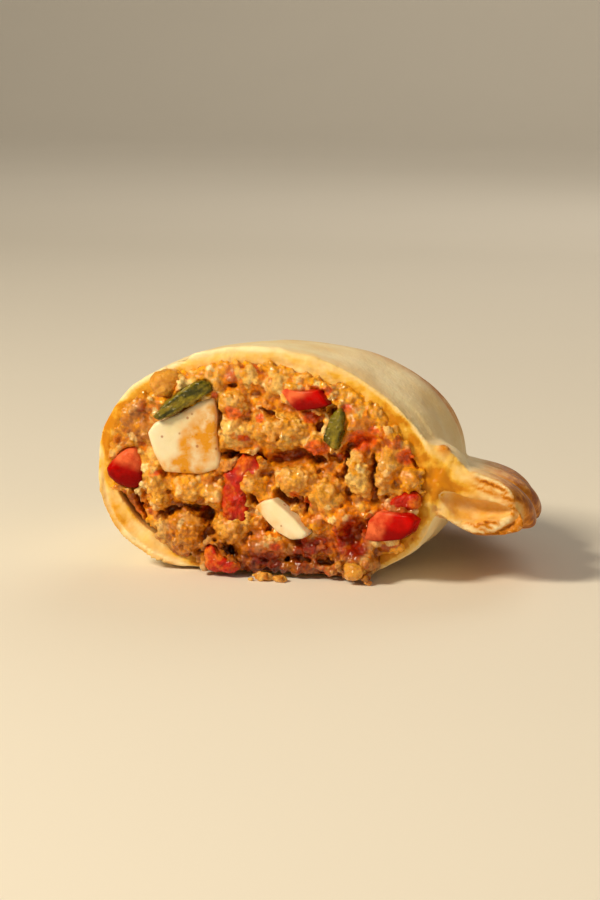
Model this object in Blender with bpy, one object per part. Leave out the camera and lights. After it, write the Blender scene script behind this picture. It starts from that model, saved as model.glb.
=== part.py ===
"""Half of a baked beef empanada, cut across the middle and resting on its flat underside.

Metres, +Z up. The origin is on the flat underside, below the crown of the crust.
+X runs from the folded edge to the crimped edge, and +Y runs from the cut to the tip.
"""

import math

import bmesh
import bpy
import numpy as np
from mathutils import Vector, noise

MM = 0.001

# The crust: the outside of the pillow at the cut, measured from the origin.
CUT_Y = -20.0 * MM
BODY_LENGTH = 53.0 * MM
HEIGHT = 35.0 * MM
FOLD_X = -26.2 * MM
SEAM_X = 27.0 * MM
SEAM_SWELL = 1.5 * MM
TIP_X = -19.0 * MM
WIDEST_Z = 16.3 * MM
CROWN_SHARE = 0.49
CRUST = 1.9 * MM
HOLLOW_LENGTH = 49.8 * MM
FRONT_LIFT = 0.7 * MM
FRONT_LIFT_REACH = 4.0 * MM
PLAN_POWER = 2.6
FLAT_SINK = 0.6 * MM
SWELL = 0.55 * MM
SWELL_SPAN = 11.0 * MM

# The crimp: two layers of dough folded over each other, in slanted lobes along the seam.
CRIMP_X = 34.2 * MM
CRIMP_TIP_Y = 33.5 * MM
CRIMP_Z = 12.2 * MM
CRIMP_TIP_Z = 6.2 * MM
CRIMP_OUT = 6.3 * MM
CRIMP_IN = 11.5 * MM
CRIMP_HALF_THICK = 4.5 * MM
CRIMP_TAPER = 0.62
CRIMP_CAP = 1.0 * MM
CRIMP_TILT = math.radians(-22.0)
LOBE_PITCH = 11.0 * MM
LOBE_DEPTH = 0.26
LOBE_SLANT = 0.55
LOBE_PHASE = 0.62
CRIMP_START_Y = CUT_Y - 3.0 * MM
SLOT_CENTRE = (32.9 * MM, CUT_Y, 11.7 * MM)
SLOT_RADII = (5.8 * MM, 6.5 * MM, 1.5 * MM)
SLOT_TILT = math.radians(-8.0)

# The dough that fills the corner between the pillow and the top of the crimp.
WEB_CENTRE = (26.9 * MM, CUT_Y, 18.8 * MM)
WEB_RADII = (4.6 * MM, 8.0 * MM, 2.2 * MM)
WEB_TILT = math.radians(-26.0)

# How far the crimp's underside bulges, as a share of its upper side: at its middle, and how
# much less at its outer edge.
UNDER_SHARE = 0.92
UNDER_LESS_OUT = 0.5

# Clearances between solids that touch in the real food.
GAP = 0.3 * MM
FRONT_CLEAR = 0.35 * MM
POCKET_GAP = 0.4 * MM

# The knife left the cut rim of the crust slightly wavy.
CUT_WAVE = 0.55 * MM
CUT_WAVE_SPAN = 7.0 * MM
CUT_WAVE_CUTS = 30

# Points closer than this are one point.
WELD = 0.002 * MM

# Cutting boxes reach this far past the part.
FAR = 60.0 * MM

# The beef stands out of the cut by this much on average, in crumbs of two sizes.
FACE_OUT = 1.2 * MM
LARGE_CRUMB = 6.5 * MM
SMALL_CRUMB = 2.9 * MM

# Counts that set how fine the facets are.
AROUND = 50
CRUST_STATIONS = 14
CRIMP_RINGS = 50
CRIMP_AROUND = 14
FACE_RINGS = 17


def smooth_step(low, high, value):
    """0 below low, 1 above high, and an S curve between them."""
    share = min(1.0, max(0.0, (value - low) / (high - low)))
    return share * share * (3 - 2 * share)


def signed_power(value, power):
    """value to a power, with its sign kept."""
    return math.copysign(abs(value) ** power, value)


def section_sizes(t):
    """The pillow's left, right, crown and widest level at share t from the cut to the tip."""
    left = TIP_X - (TIP_X - FOLD_X) * math.sqrt(max(0.0, 1 - t**5))
    right = TIP_X + (SEAM_X - TIP_X) * max(0.0, 1 - t**PLAN_POWER) ** (1 / PLAN_POWER)
    right += SEAM_SWELL * math.sin(math.pi * t**0.7)
    top = HEIGHT * max(0.0, 1 - t**2.6) ** 0.6
    middle = WIDEST_Z * (top / HEIGHT) ** 0.9
    crown = left + CROWN_SHARE * (right - left)
    return left, right, crown, top, middle


def section_point(t, angle, inset):
    """A point of the pillow's section: a superellipse with its own power in each quarter.

    Its lowest part lies below the underside, and is later lifted flat.
    """
    left, right, crown, top, middle = section_sizes(t)
    room = top - 2 * inset
    middle = min(max(middle, inset + 0.35 * room), inset + 0.6 * room)
    across, up = math.cos(angle), math.sin(angle)
    if up >= 0:
        behind = smooth_step(0.03, 0.35, t)
        power = 2.05 - 0.3 * behind if across < 0 else 1.72 + 0.5 * behind
        rise = top - middle - inset
    else:
        power = 2.7 if across < 0 else 2.6
        rise = middle - inset + FLAT_SINK
    reach = (crown - left if across < 0 else right - crown) - inset
    x = crown + max(0.0, reach) * signed_power(across, 2 / power)
    z = middle + max(0.0, rise) * signed_power(up, 2 / power)
    return x, z


def new_mesh_object(name, points, faces, collection):
    """An object from a list of points and faces, linked to a collection."""
    mesh = bpy.data.meshes.new(name)
    mesh.from_pydata([tuple(p) for p in points], [], faces)
    mesh.validate()
    obj = bpy.data.objects.new(name, mesh)
    collection.objects.link(obj)
    return obj


def loft(name, rings, collection, first_pole=None, last_pole=None):
    """A closed skin over rings with equal counts; each end is a pole or a flat fan."""
    count = len(rings[0])
    points = [p for ring in rings for p in ring]
    faces = []
    for r in range(len(rings) - 1):
        for k in range(count):
            a, b = r * count + k, r * count + (k + 1) % count
            faces.append((a, b, b + count, a + count))
    for pole, start, turn in ((first_pole, 0, 1), (last_pole, (len(rings) - 1) * count, 0)):
        if pole is None:
            pole = np.mean(points[start : start + count], axis=0)
        hub = len(points)
        points.append(tuple(pole))
        for k in range(count):
            a, b = start + k, start + (k + 1) % count
            faces.append((b, a, hub) if turn else (a, b, hub))
    obj = new_mesh_object(name, points, faces, collection)
    outward(obj)
    return obj


def outward(obj):
    """Turns every face of a closed mesh outwards."""
    bm = bmesh.new()
    bm.from_mesh(obj.data)
    bmesh.ops.recalc_face_normals(bm, faces=bm.faces)
    bm.to_mesh(obj.data)
    bm.free()


def pillow_rings(inset, length, start_y, bump=0.0, tip_back=0.0):
    """Rings of the pillow from start_y to just before the tip, and the tip's pole.

    Every inset shape uses the same stations, so that shapes of one length lie inside each other.
    """
    shares = [0.0] + [math.sin(k / CRUST_STATIONS * math.pi / 2) for k in range(1, CRUST_STATIONS)]
    rings = []
    for t in shares:
        left, right, _, top, _ = section_sizes(t)
        if not inset or min(top, right - left) - 2 * CRUST > 3.5 * MM:
            rings.append(pillow_ring(t, inset, CUT_Y + t * length, bump))
    if start_y < CUT_Y:
        rings.insert(0, [(x, start_y, z) for x, y, z in rings[0]])
    x, _, z = np.mean(rings[-1], axis=0) if inset else (TIP_X, 0.0, section_sizes(0.99)[4])
    return rings, (x, CUT_Y + length - tip_back, z)


def pillow_ring(t, inset, y, bump):
    """One section of the pillow at share t, moved to y, with gentle swells in the dough."""
    ring = []
    lift = FRONT_LIFT * (1 - smooth_step(0, FRONT_LIFT_REACH, y - CUT_Y))
    for k in range(AROUND):
        x, z = section_point(t, 2 * math.pi * k / AROUND, inset)
        swell = bump * noise.noise(Vector((x, y, z)) / SWELL_SPAN)
        x += swell * math.cos(2 * math.pi * k / AROUND)
        z += swell * math.sin(2 * math.pi * k / AROUND)
        floor = max(inset, lift + inset)
        ring.append((x, y, max(z, floor)))
    return ring


def crimp_path():
    """Points along the middle of the crimp, equally far apart, from the cut to the tip."""
    angle = np.linspace(0, 0.985, 400) * math.pi / 2
    share = np.sin(angle) ** (2 / PLAN_POWER)
    x = TIP_X + (CRIMP_X - TIP_X) * np.cos(angle) ** (2 / PLAN_POWER)
    y = CUT_Y + (CRIMP_TIP_Y - CUT_Y) * share
    z = CRIMP_Z + (CRIMP_TIP_Z - CRIMP_Z) * share**0.8
    run = np.concatenate([[0.0], np.cumsum(np.hypot(np.diff(x), np.diff(y)))])
    even = np.linspace(0, run[-1], CRIMP_RINGS)
    columns = [np.interp(even, run, values) for values in (x, y, z)]
    return [Vector(point) for point in zip(*columns)], even


def crimp_rings():
    """Rings of the crimp and the point where it ends.

    Each ring is an ellipse, longer inwards, whose lobes wind round it like a rope.
    """
    centres, runs = crimp_path()
    rings = []
    for k, (centre, run) in enumerate(zip(centres, runs)):
        ahead = (centres[min(CRIMP_RINGS - 1, k + 1)] - centres[max(0, k - 1)]).normalized()
        out = ahead.cross(Vector((0, 0, 1))).normalized()
        up = out.cross(ahead).normalized()
        out, up = (
            out * math.cos(CRIMP_TILT) + up * math.sin(CRIMP_TILT),
            up * math.cos(CRIMP_TILT) - out * math.sin(CRIMP_TILT),
        )
        share = run / runs[-1]
        size = 1 - (1 - CRIMP_TAPER) * smooth_step(0.35, 1.0, share)
        size *= math.sqrt(1 - min(0.9, smooth_step(0.9, 1.0, share)))
        rings.append([crimp_point(centre, out, up, size, run, j) for j in range(CRIMP_AROUND)])
    return rings, tuple(centres[-1] + ahead * CRIMP_CAP)


def crimp_point(centre, out, up, size, run, j):
    """One point of a crimp ring; its phase round the rope sets where it lies on a lobe."""
    turn = 2 * math.pi * j / CRIMP_AROUND
    phase = run / LOBE_PITCH + LOBE_SLANT * math.sin(turn) + LOBE_PHASE
    lobe = 1 - LOBE_DEPTH + LOBE_DEPTH * 1.3 * abs(math.sin(math.pi * phase)) ** 0.7
    reach = math.cos(turn) * (CRIMP_OUT * lobe if math.cos(turn) > 0 else CRIMP_IN)
    rise = CRIMP_HALF_THICK * math.sin(turn) * lobe
    if rise < 0:
        rise *= UNDER_SHARE - UNDER_LESS_OUT * max(0.0, math.cos(turn))
    point = centre + out * (reach * size) + up * (rise * size)
    return point.x, point.y, max(point.z, 0.8 * MM)


def add_boolean(obj, other, operation, solver="EXACT"):
    """Applies one Boolean to obj at once."""
    modifier = obj.modifiers.new("Join", "BOOLEAN")
    modifier.operation = operation
    modifier.solver = solver
    if isinstance(other, bpy.types.Collection):
        modifier.operand_type = "COLLECTION"
        modifier.collection = other
    else:
        modifier.object = other
    graph = bpy.context.evaluated_depsgraph_get()
    graph.update()
    done = bpy.data.meshes.new_from_object(obj.evaluated_get(graph))
    obj.modifiers.clear()
    obj.data = done


def drop_small(obj):
    """Removes loose scraps that a cut left behind, keeping the largest body."""
    bm = bmesh.new()
    bm.from_mesh(obj.data)
    bmesh.ops.remove_doubles(bm, verts=bm.verts, dist=WELD)
    left = set(bm.verts)
    groups = []
    while left:
        todo = [left.pop()]
        found = set(todo)
        while todo:
            for edge in todo.pop().link_edges:
                for vert in edge.verts:
                    if vert not in found:
                        found.add(vert)
                        left.discard(vert)
                        todo.append(vert)
        groups.append(found)
    most = max(len(g) for g in groups)
    scraps = [v for g in groups if len(g) < most for v in g]
    bmesh.ops.delete(bm, geom=scraps, context="VERTS")
    bm.to_mesh(obj.data)
    bm.free()


def box_cutter(name, low, high, collection, wavy=False):
    """A closed box between two corners; its +Y face can be wavy."""
    bm = bmesh.new()
    bmesh.ops.create_cube(bm, size=1.0)
    size, middle = Vector(high) - Vector(low), (Vector(high) + Vector(low)) / 2
    for v in bm.verts:
        v.co = Vector(a * b for a, b in zip(v.co, size)) + middle
    if wavy:
        back = [e for e in bm.edges if all(abs(v.co.y - high[1]) < 1e-6 for v in e.verts)]
        bmesh.ops.subdivide_edges(bm, edges=back, cuts=CUT_WAVE_CUTS, use_grid_fill=True)
        for v in bm.verts:
            if abs(v.co.y - high[1]) < 1e-6:
                v.co.y += CUT_WAVE * (0.5 + noise.noise(v.co / CUT_WAVE_SPAN))
    mesh = bpy.data.meshes.new(name)
    bm.to_mesh(mesh)
    bm.free()
    obj = bpy.data.objects.new(name, mesh)
    collection.objects.link(obj)
    return obj


def ball(name, centre, radii, tilt, collection, rough=0.0, level=2):
    """A lump: an icosphere stretched to its radii, roughened, tilted about Y and put in place."""
    bm = bmesh.new()
    bmesh.ops.create_icosphere(bm, subdivisions=level, radius=1.0)
    for v in bm.verts:
        grown = 1 + rough * noise.noise(v.co * 1.7 + Vector(centre) * 400)
        x, y, z = (c * r * grown for c, r in zip(v.co, radii))
        v.co = Vector((x * math.cos(tilt) - z * math.sin(tilt), y, x * math.sin(tilt) + z * math.cos(tilt)))
        v.co += Vector(centre)
    mesh = bpy.data.meshes.new(name)
    bm.to_mesh(mesh)
    bm.free()
    obj = bpy.data.objects.new(name, mesh)
    collection.objects.link(obj)
    return obj


def make_pastry(parts, cutters):
    """The crust: one folded sheet, hollow at the cut, with its crimp along the seam."""
    rings, pole = pillow_rings(0.0, BODY_LENGTH, CRIMP_START_Y, bump=SWELL)
    pastry = loft("pastry", rings, parts, last_pole=pole)
    rope, end = crimp_rings()
    rope.insert(0, [(x, CRIMP_START_Y, z) for x, y, z in rope[0]])
    add_boolean(pastry, loft("crimp_raw", rope, cutters, last_pole=end), "UNION")
    add_boolean(pastry, ball("crimp_web", WEB_CENTRE, WEB_RADII, WEB_TILT, cutters), "UNION")
    hollow, tip = pillow_rings(CRUST, HOLLOW_LENGTH, 2 * CRIMP_START_Y - CUT_Y)
    add_boolean(pastry, loft("hollow", hollow, cutters, last_pole=tip), "DIFFERENCE")
    slot = ball("crimp_slot", SLOT_CENTRE, SLOT_RADII, SLOT_TILT, cutters)
    add_boolean(pastry, slot, "DIFFERENCE")
    front = box_cutter("front", (-FAR, -FAR, -FAR), (FAR, CUT_Y, FAR), cutters, wavy=True)
    add_boolean(pastry, front, "DIFFERENCE")
    drop_small(pastry)
    return pastry


def face_relief(x, z):
    """How far the minced beef stands out of the cut: rounded crumbs at two sizes."""
    place = Vector((x, 0.0, z))
    large = noise.voronoi(place / LARGE_CRUMB)[0][0]
    small = noise.voronoi(place / SMALL_CRUMB + Vector((3.1, 1.7, 5.2)))[0][0]
    return (0.18 - 0.42 * large) * LARGE_CRUMB + (0.24 - 0.52 * small) * SMALL_CRUMB


def filling_front(ring):
    """Rings that close the filling across the cut, drawn in to a point and roughened."""
    middle = np.mean(ring, axis=0)
    rings = []
    for k in range(1, FACE_RINGS):
        keep = 1 - k / FACE_RINGS
        row = []
        for x, y, z in ring:
            px = middle[0] + (x - middle[0]) * keep
            pz = middle[2] + (z - middle[2]) * keep
            away = smooth_step(1.0, 0.86, keep)
            row.append((px, y - away * (FACE_OUT + face_relief(px, pz)), pz))
        rings.append(row)
    pole = (middle[0], middle[1] - FACE_OUT - face_relief(middle[0], middle[2]), middle[2])
    return rings, pole


# Lumps of beef that hang out over the lower edge of the crust: centre x, distance out of the
# cut, height, then the half sizes, all in millimetres.
OVERFLOW_LUMPS = (
    ((-11.5, 0.6, 5.5), (4.0, 3.0, 3.7)),
    ((-5.0, 0.8, 6.8), (4.6, 2.9, 3.6)),
    ((2.0, 1.0, 5.0), (6.0, 3.0, 3.0)),
    ((9.0, 0.8, 5.6), (5.0, 2.6, 2.9)),
    ((14.2, 1.0, 4.1), (4.4, 3.2, 3.3)),
    ((19.3, 0.6, 6.0), (3.6, 2.4, 3.6)),
)


def make_filling(parts, cutters, lumps):
    """The beef filling, which runs through the crust and stands out of the cut in crumbs."""
    rings, tip = pillow_rings(CRUST - 0.6 * MM, HOLLOW_LENGTH, CUT_Y)
    front_ring = [open_left(p) for p in rings[0]]
    rings[0] = front_ring
    front, pole = filling_front(front_ring)
    ordered = [list(r) for r in reversed(front)] + rings
    filling = loft("filling", ordered, parts, first_pole=pole, last_pole=tip)
    for k, (place, radii) in enumerate(OVERFLOW_LUMPS):
        x, out, z = place
        centre = (x * MM, CUT_Y - out * MM, z * MM)
        ball(f"lump_{k}", centre, [r * MM for r in radii], 0.0, lumps, rough=0.35)
    add_boolean(filling, lumps, "UNION")
    add_boolean(filling, crust_clearance(cutters), "DIFFERENCE")
    return filling


def open_left(point):
    """Draws the filling's rim in at the lower left, where it has come away from the crust."""
    x, y, z = point
    lower_left = smooth_step(-8 * MM, -20 * MM, x) * smooth_step(17 * MM, 9 * MM, z)
    return (x + 2.3 * MM * lower_left, y + 2.0 * MM * lower_left, z + 1.2 * MM * lower_left)


def crust_clearance(cutters):
    """Everything behind the cut that isn't the room inside the crust, less the gap."""
    block = box_cutter("clearance", (-FAR, CUT_Y - FRONT_CLEAR, -FAR), (FAR, FAR, FAR), cutters)
    room, tip = pillow_rings(CRUST + GAP, HOLLOW_LENGTH, 2 * CRIMP_START_Y - CUT_Y, tip_back=5 * GAP)
    add_boolean(block, loft("room", room, cutters, last_pole=tip), "DIFFERENCE")
    return block


# The pieces that show in the cut: an outline in the plane of the cut (x and z, millimetres),
# how far the front stands out of the cut, the thickness front to back, the edge rounding and
# a tilt in degrees about Z that turns the piece's face to one side.
PIECES = {
    "egg_white_chunk": (
        (
            (-17.5, 21.5), (-16.2, 22.9), (-7.6, 26.9), (-6.8, 24.9), (-6.4, 17.0), (-7.4, 15.6),
            (-14.8, 15.5), (-16.6, 18.6),
        ),
        2.0, 5.5, 0.8, 6,
    ),
    "egg_white_sliver": (
        ((-0.5, 10.9), (2.2, 12.2), (6.1, 9.6), (8.1, 7.4), (6.8, 6.4), (3.3, 7.3), (1.4, 8.9)),
        2.6, 5.0, 0.5, -10,
    ),
    "red_pepper_left": (
        ((-23.6, 15.6), (-22.2, 18.3), (-19.8, 19.1), (-18.5, 16.8), (-19.4, 12.8), (-22.6, 13.4)),
        1.9, 4.6, 0.9, 12,
    ),
    "red_pepper_top": (
        ((3.7, 28.5), (9.6, 29.1), (11.2, 27.0), (6.4, 25.9), (4.8, 26.7)),
        2.0, 3.6, 0.5, -8,
    ),
    "red_pepper_right": (
        ((16.8, 7.0), (17.3, 9.6), (18.8, 10.9), (23.6, 10.9), (24.4, 10.0), (22.7, 7.4), (20.4, 6.7)),
        3.3, 2.8, 0.45, -14,
    ),
    "tomato_middle": (
        ((-3.4, 18.2), (0.2, 17.4), (-2.0, 13.6), (-2.4, 8.6), (-4.6, 5.6), (-6.1, 10.3), (-5.6, 15.6)),
        1.3, 4.2, 0.9, 5,
    ),
    "tomato_lower": (
        ((-8.4, 4.3), (-6.4, 4.8), (-3.2, 2.9), (-3.6, 0.9), (-6.8, 0.8), (-8.5, 2.0)),
        3.6, 3.0, 0.7, 0,
    ),
    "tomato_right": (
        ((19.3, 12.0), (20.0, 13.7), (23.4, 14.5), (23.9, 12.0)),
        1.6, 3.6, 0.6, -8,
    ),
    "spring_onion_left": (
        ((-16.6, 24.7), (-15.2, 24.0), (-12.0, 25.8), (-7.4, 28.6), (-8.9, 30.0), (-12.8, 28.0)),
        3.2, 2.0, 0.45, 8,
    ),
    "spring_onion_right": (
        ((10.0, 21.6), (11.0, 24.9), (12.5, 26.6), (13.5, 25.6), (12.5, 20.4), (11.0, 20.4)),
        2.4, 2.4, 0.45, -6,
    ),
    "onion_upper": (
        ((-17.7, 28.4), (-17.0, 30.1), (-15.2, 31.0), (-13.4, 30.5), (-13.9, 28.6), (-16.2, 27.2)),
        2.5, 2.1, 0.45, 6,
    ),
    "onion_lower": (
        ((12.4, 2.9), (14.6, 4.3), (17.0, 3.4), (16.4, 1.1), (13.2, 0.9)),
        4.6, 2.6, 0.7, 0,
    ),
}


def piece_mesh(name, outline, out, thick, edge, turn, collection):
    """A chunk with this outline: a filled 2D curve, extruded and rounded, stood up in the cut."""
    curve = bpy.data.curves.new(name, "CURVE")
    curve.dimensions = "2D"
    curve.fill_mode = "BOTH"
    curve.extrude = (thick / 2 - edge) * MM
    curve.bevel_depth = edge * MM
    curve.bevel_resolution = 1
    curve.offset = -edge * MM
    spline = curve.splines.new("POLY")
    spline.use_cyclic_u = True
    spline.points.add(len(outline) - 1)
    middle = np.mean(outline, axis=0)
    for point, (x, z) in zip(spline.points, outline):
        point.co = ((x - middle[0]) * MM, (z - middle[1]) * MM, 0, 1)
    holder = bpy.data.objects.new(name, curve)
    collection.objects.link(holder)
    holder.rotation_euler = (math.pi / 2, 0, math.radians(turn))
    holder.location = (middle[0] * MM, CUT_Y - (out - thick / 2) * MM, middle[1] * MM)
    bpy.context.view_layer.update()
    graph = bpy.context.evaluated_depsgraph_get()
    mesh = bpy.data.meshes.new_from_object(holder.evaluated_get(graph))
    mesh.transform(holder.matrix_world)
    bpy.data.objects.remove(holder)
    solid = bpy.data.objects.new(name, mesh)
    collection.objects.link(solid)
    bm = bmesh.new()
    bm.from_mesh(mesh)
    bmesh.ops.remove_doubles(bm, verts=bm.verts, dist=WELD)
    bmesh.ops.recalc_face_normals(bm, faces=bm.faces)
    bm.to_mesh(mesh)
    bm.free()
    return solid


def grown_copy(obj, by, collection):
    """A copy of a closed mesh with its points moved out along their normals."""
    mesh = obj.data.copy()
    normals = [v.normal.copy() for v in mesh.vertices]
    for v, normal in zip(mesh.vertices, normals):
        v.co += normal * by
    copy = bpy.data.objects.new(obj.name + "_room", mesh)
    collection.objects.link(copy)
    return copy


def make_pieces(parts, cutters, filling):
    """The egg, peppers, tomato and onions, each in its own pocket in the filling."""
    pieces = []
    for name, values in PIECES.items():
        piece = piece_mesh(name, *values, parts)
        # EXACT loses the whole filling on some of these pockets, so MANIFOLD cuts them.
        add_boolean(filling, grown_copy(piece, POCKET_GAP, cutters), "DIFFERENCE", "MANIFOLD")
        pieces.append(piece)
    drop_small(filling)
    return pieces


# Colour, roughness and metallic value of each finish.
FINISHES = {
    "pastry": ((0.80, 0.66, 0.42), 0.55, 0.0),
    "filling": ((0.50, 0.25, 0.08), 0.45, 0.0),
    "egg_white": ((0.86, 0.80, 0.62), 0.30, 0.0),
    "red_pepper": ((0.62, 0.03, 0.02), 0.25, 0.0),
    "tomato": ((0.50, 0.05, 0.02), 0.35, 0.0),
    "spring_onion": ((0.12, 0.14, 0.03), 0.35, 0.0),
    "onion": ((0.62, 0.38, 0.12), 0.30, 0.0),
}


def finish_material(name):
    """The Principled material of one finish."""
    material = bpy.data.materials.get(name)
    if material is None:
        colour, roughness, metallic = FINISHES[name]
        material = bpy.data.materials.new(name)
        material.use_nodes = True
        shader = material.node_tree.nodes["Principled BSDF"]
        shader.inputs["Base Color"].default_value = (*colour, 1.0)
        shader.inputs["Roughness"].default_value = roughness
        shader.inputs["Metallic"].default_value = metallic
    return material


def dress(obj):
    """Gives an object the finish its name begins with, and smooth shading."""
    finish = next(f for f in FINISHES if obj.name.startswith(f))
    obj.data.materials.clear()
    obj.data.materials.append(finish_material(finish))
    obj.data.shade_smooth()
    obj.data.set_sharp_from_angle(angle=math.radians(50))


def main():
    """Builds the crust, the filling and the pieces, then hides the cutters."""
    for obj in list(bpy.data.objects):
        bpy.data.objects.remove(obj)
    root = bpy.context.scene.collection
    parts = bpy.data.collections.new("beef_empanada_half")
    cutters = bpy.data.collections.new("cutters")
    lumps = bpy.data.collections.new("beef_lumps")
    for collection in (parts, cutters, lumps):
        root.children.link(collection)
    pastry = make_pastry(parts, cutters)
    filling = make_filling(parts, cutters, lumps)
    pieces = make_pieces(parts, cutters, filling)
    for obj in (pastry, filling, *pieces):
        dress(obj)
    for obj in [*cutters.objects, *lumps.objects]:
        bpy.data.objects.remove(obj)
    for collection in (cutters, lumps):
        bpy.data.collections.remove(collection)


main()
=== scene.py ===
"""The looks of half a baked beef empanada, cut across and resting on its flat underside.

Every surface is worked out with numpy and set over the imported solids. +X runs from the folded
edge to the crimped edge, +Y from the cut to the closed tip, and +Z up. Lengths are in metres.
"""

import logging
import math
from dataclasses import dataclass
from enum import Enum

import bpy
import numpy as np
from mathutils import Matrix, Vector


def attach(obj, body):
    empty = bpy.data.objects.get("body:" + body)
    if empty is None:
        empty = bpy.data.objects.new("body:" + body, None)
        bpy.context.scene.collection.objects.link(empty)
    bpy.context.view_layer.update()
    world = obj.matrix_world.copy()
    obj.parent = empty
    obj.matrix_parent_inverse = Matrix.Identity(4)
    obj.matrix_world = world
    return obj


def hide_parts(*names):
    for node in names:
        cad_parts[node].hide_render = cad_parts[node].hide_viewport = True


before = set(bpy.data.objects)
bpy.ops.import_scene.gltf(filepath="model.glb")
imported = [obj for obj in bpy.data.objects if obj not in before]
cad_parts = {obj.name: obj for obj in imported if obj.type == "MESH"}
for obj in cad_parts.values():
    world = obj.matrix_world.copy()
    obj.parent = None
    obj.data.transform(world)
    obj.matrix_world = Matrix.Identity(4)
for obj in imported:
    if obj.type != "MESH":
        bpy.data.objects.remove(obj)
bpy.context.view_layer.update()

Array = np.ndarray
Colour = tuple[float, float, float, float]
LOG = logging.getLogger("empanada")

MM = 0.001
BODY = "root"


# Numbers and noise


def smooth_step(low: float, high: float, value: Array | float) -> Array:
    """0 before low, 1 past high, and an S curve 3s^2 - 2s^3 between them."""
    share = np.clip((np.asarray(value, float) - low) / (high - low), 0.0, 1.0)
    return share * share * (3.0 - 2.0 * share)


def ramp(low_mm: float, high_mm: float, value: Array) -> Array:
    """The S curve of smooth_step between two lengths in millimetres."""
    return smooth_step(low_mm * MM, high_mm * MM, value)


def signed_power(value: Array, power: float | Array) -> Array:
    """The size of value to a power, with its sign kept."""
    return np.sign(value) * np.abs(value) ** power


def lattice(cell: Array, seed: int) -> Array:
    """Random numbers from 0 to 1 by mixing the three whole numbers of each lattice cell.

    Args:
        cell: whole numbers, three for each place.
        seed: picks one of many unlike lattices.

    Returns:
        One number for each place.
    """
    mixed = cell[..., 0] * 73856093 ^ cell[..., 1] * 19349663 ^ cell[..., 2] * 83492791
    mixed = (mixed + seed * 2654435761) & 0xFFFFFFFF
    mixed = ((mixed ^ (mixed >> 15)) * 2246822519) & 0xFFFFFFFF
    mixed = ((mixed ^ (mixed >> 13)) * 3266489917) & 0xFFFFFFFF
    return ((mixed ^ (mixed >> 16)) & 0xFFFFFF) / float(0xFFFFFF)


def soft_noise(points: Array, span: float, seed: int, octaves: int = 1) -> Array:
    """Smooth noise from -1 to 1: lattice values a span apart, blended by S curves.

    Args:
        points: places, three columns.
        span: width of a lattice cell in metres; each further octave halves it and its weight.
        seed: picks the pattern.
        octaves: how many layers are added.

    Returns:
        One value for each place.
    """
    total, weight, weights = np.zeros(len(points)), 1.0, 0.0
    for octave in range(octaves):
        place = points / (span / 2**octave)
        cell = np.floor(place).astype(np.int64)
        share = place - cell
        share = share * share * (3.0 - 2.0 * share)
        value = np.zeros(len(points))
        for corner in np.ndindex(2, 2, 2):
            side = np.where(np.array(corner) == 1, share, 1.0 - share)
            value += side.prod(axis=1) * lattice(cell + np.array(corner), seed + 31 * octave)
        total += weight * (2.0 * value - 1.0)
        weights += weight
        weight *= 0.5
    return total / weights


def plane_noise(first: Array, second: Array, span_mm: float, seed: int, octaves: int = 1) -> Array:
    """Smooth noise on the plane of two measures.

    Args:
        first: one measure of each place.
        second: the other measure.
        span_mm: width of a lattice cell in millimetres.
        seed: picks the pattern.
        octaves: how many layers are added.

    Returns:
        One value for each place, from -1 to 1.
    """
    return soft_noise(np.stack([first, 0 * first, second], -1), span_mm * MM, seed, octaves)


def grain_distances(points: Array, span: float, seed: int) -> tuple[Array, Array]:
    """Distances to the nearest and the second nearest of points scattered one to a cell.

    Args:
        points: places, three columns.
        span: width of a cell in metres.
        seed: picks the pattern.

    Returns:
        The two distances, in spans.
    """
    place = points / span
    base = np.floor(place).astype(np.int64)
    first = np.full(len(points), 9.0)
    second = np.full(len(points), 9.0)
    for offset in np.ndindex(3, 3, 3):
        cell = base + np.array(offset) - 1
        spot = cell + np.stack([lattice(cell, seed + k) for k in range(3)], axis=-1)
        gap = np.linalg.norm(place - spot, axis=1)
        second = np.minimum(second, np.maximum(first, gap))
        first = np.minimum(first, gap)
    return first, second


# Meshes


@dataclass
class Surface:
    """A closed surface as arrays: points, four-sided faces and three-sided faces."""

    points: Array
    quads: Array
    fans: Array

    def turned_out(self) -> "Surface":
        """The same surface with its faces pointing out, found from the sign of its volume."""
        corners = np.concatenate([self.quads[:, [0, 1, 2]], self.quads[:, [0, 2, 3]], self.fans])
        a, b, c = (self.points[corners[:, k]] for k in range(3))
        if np.einsum("ij,ij->i", a, np.cross(b, c)).sum() < 0:
            return Surface(self.points, self.quads[:, ::-1], self.fans[:, ::-1])
        return self

    def moved(self, points: Array) -> "Surface":
        """The same faces on other points."""
        return Surface(points, self.quads, self.fans)

    def to_object(self, name: str) -> bpy.types.Object:
        """Puts the surface into a mesh object at the origin.

        Args:
            name: the object's name.

        Returns:
            The object, linked to the scene.
        """
        mesh = bpy.data.meshes.new(name)
        mesh.vertices.add(len(self.points))
        mesh.vertices.foreach_set("co", self.points.astype(np.float32).ravel())
        corners = np.concatenate([self.quads.ravel(), self.fans.ravel()])
        sizes = np.concatenate([np.full(len(self.quads), 4), np.full(len(self.fans), 3)])
        mesh.loops.add(len(corners))
        mesh.loops.foreach_set("vertex_index", corners.astype(np.int32))
        mesh.polygons.add(len(sizes))
        starts = np.concatenate([[0], np.cumsum(sizes)[:-1]])
        mesh.polygons.foreach_set("loop_start", starts.astype(np.int32))
        mesh.update(calc_edges=True)
        mesh.validate()
        obj = bpy.data.objects.new(name, mesh)
        bpy.context.scene.collection.objects.link(obj)
        return obj


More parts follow.
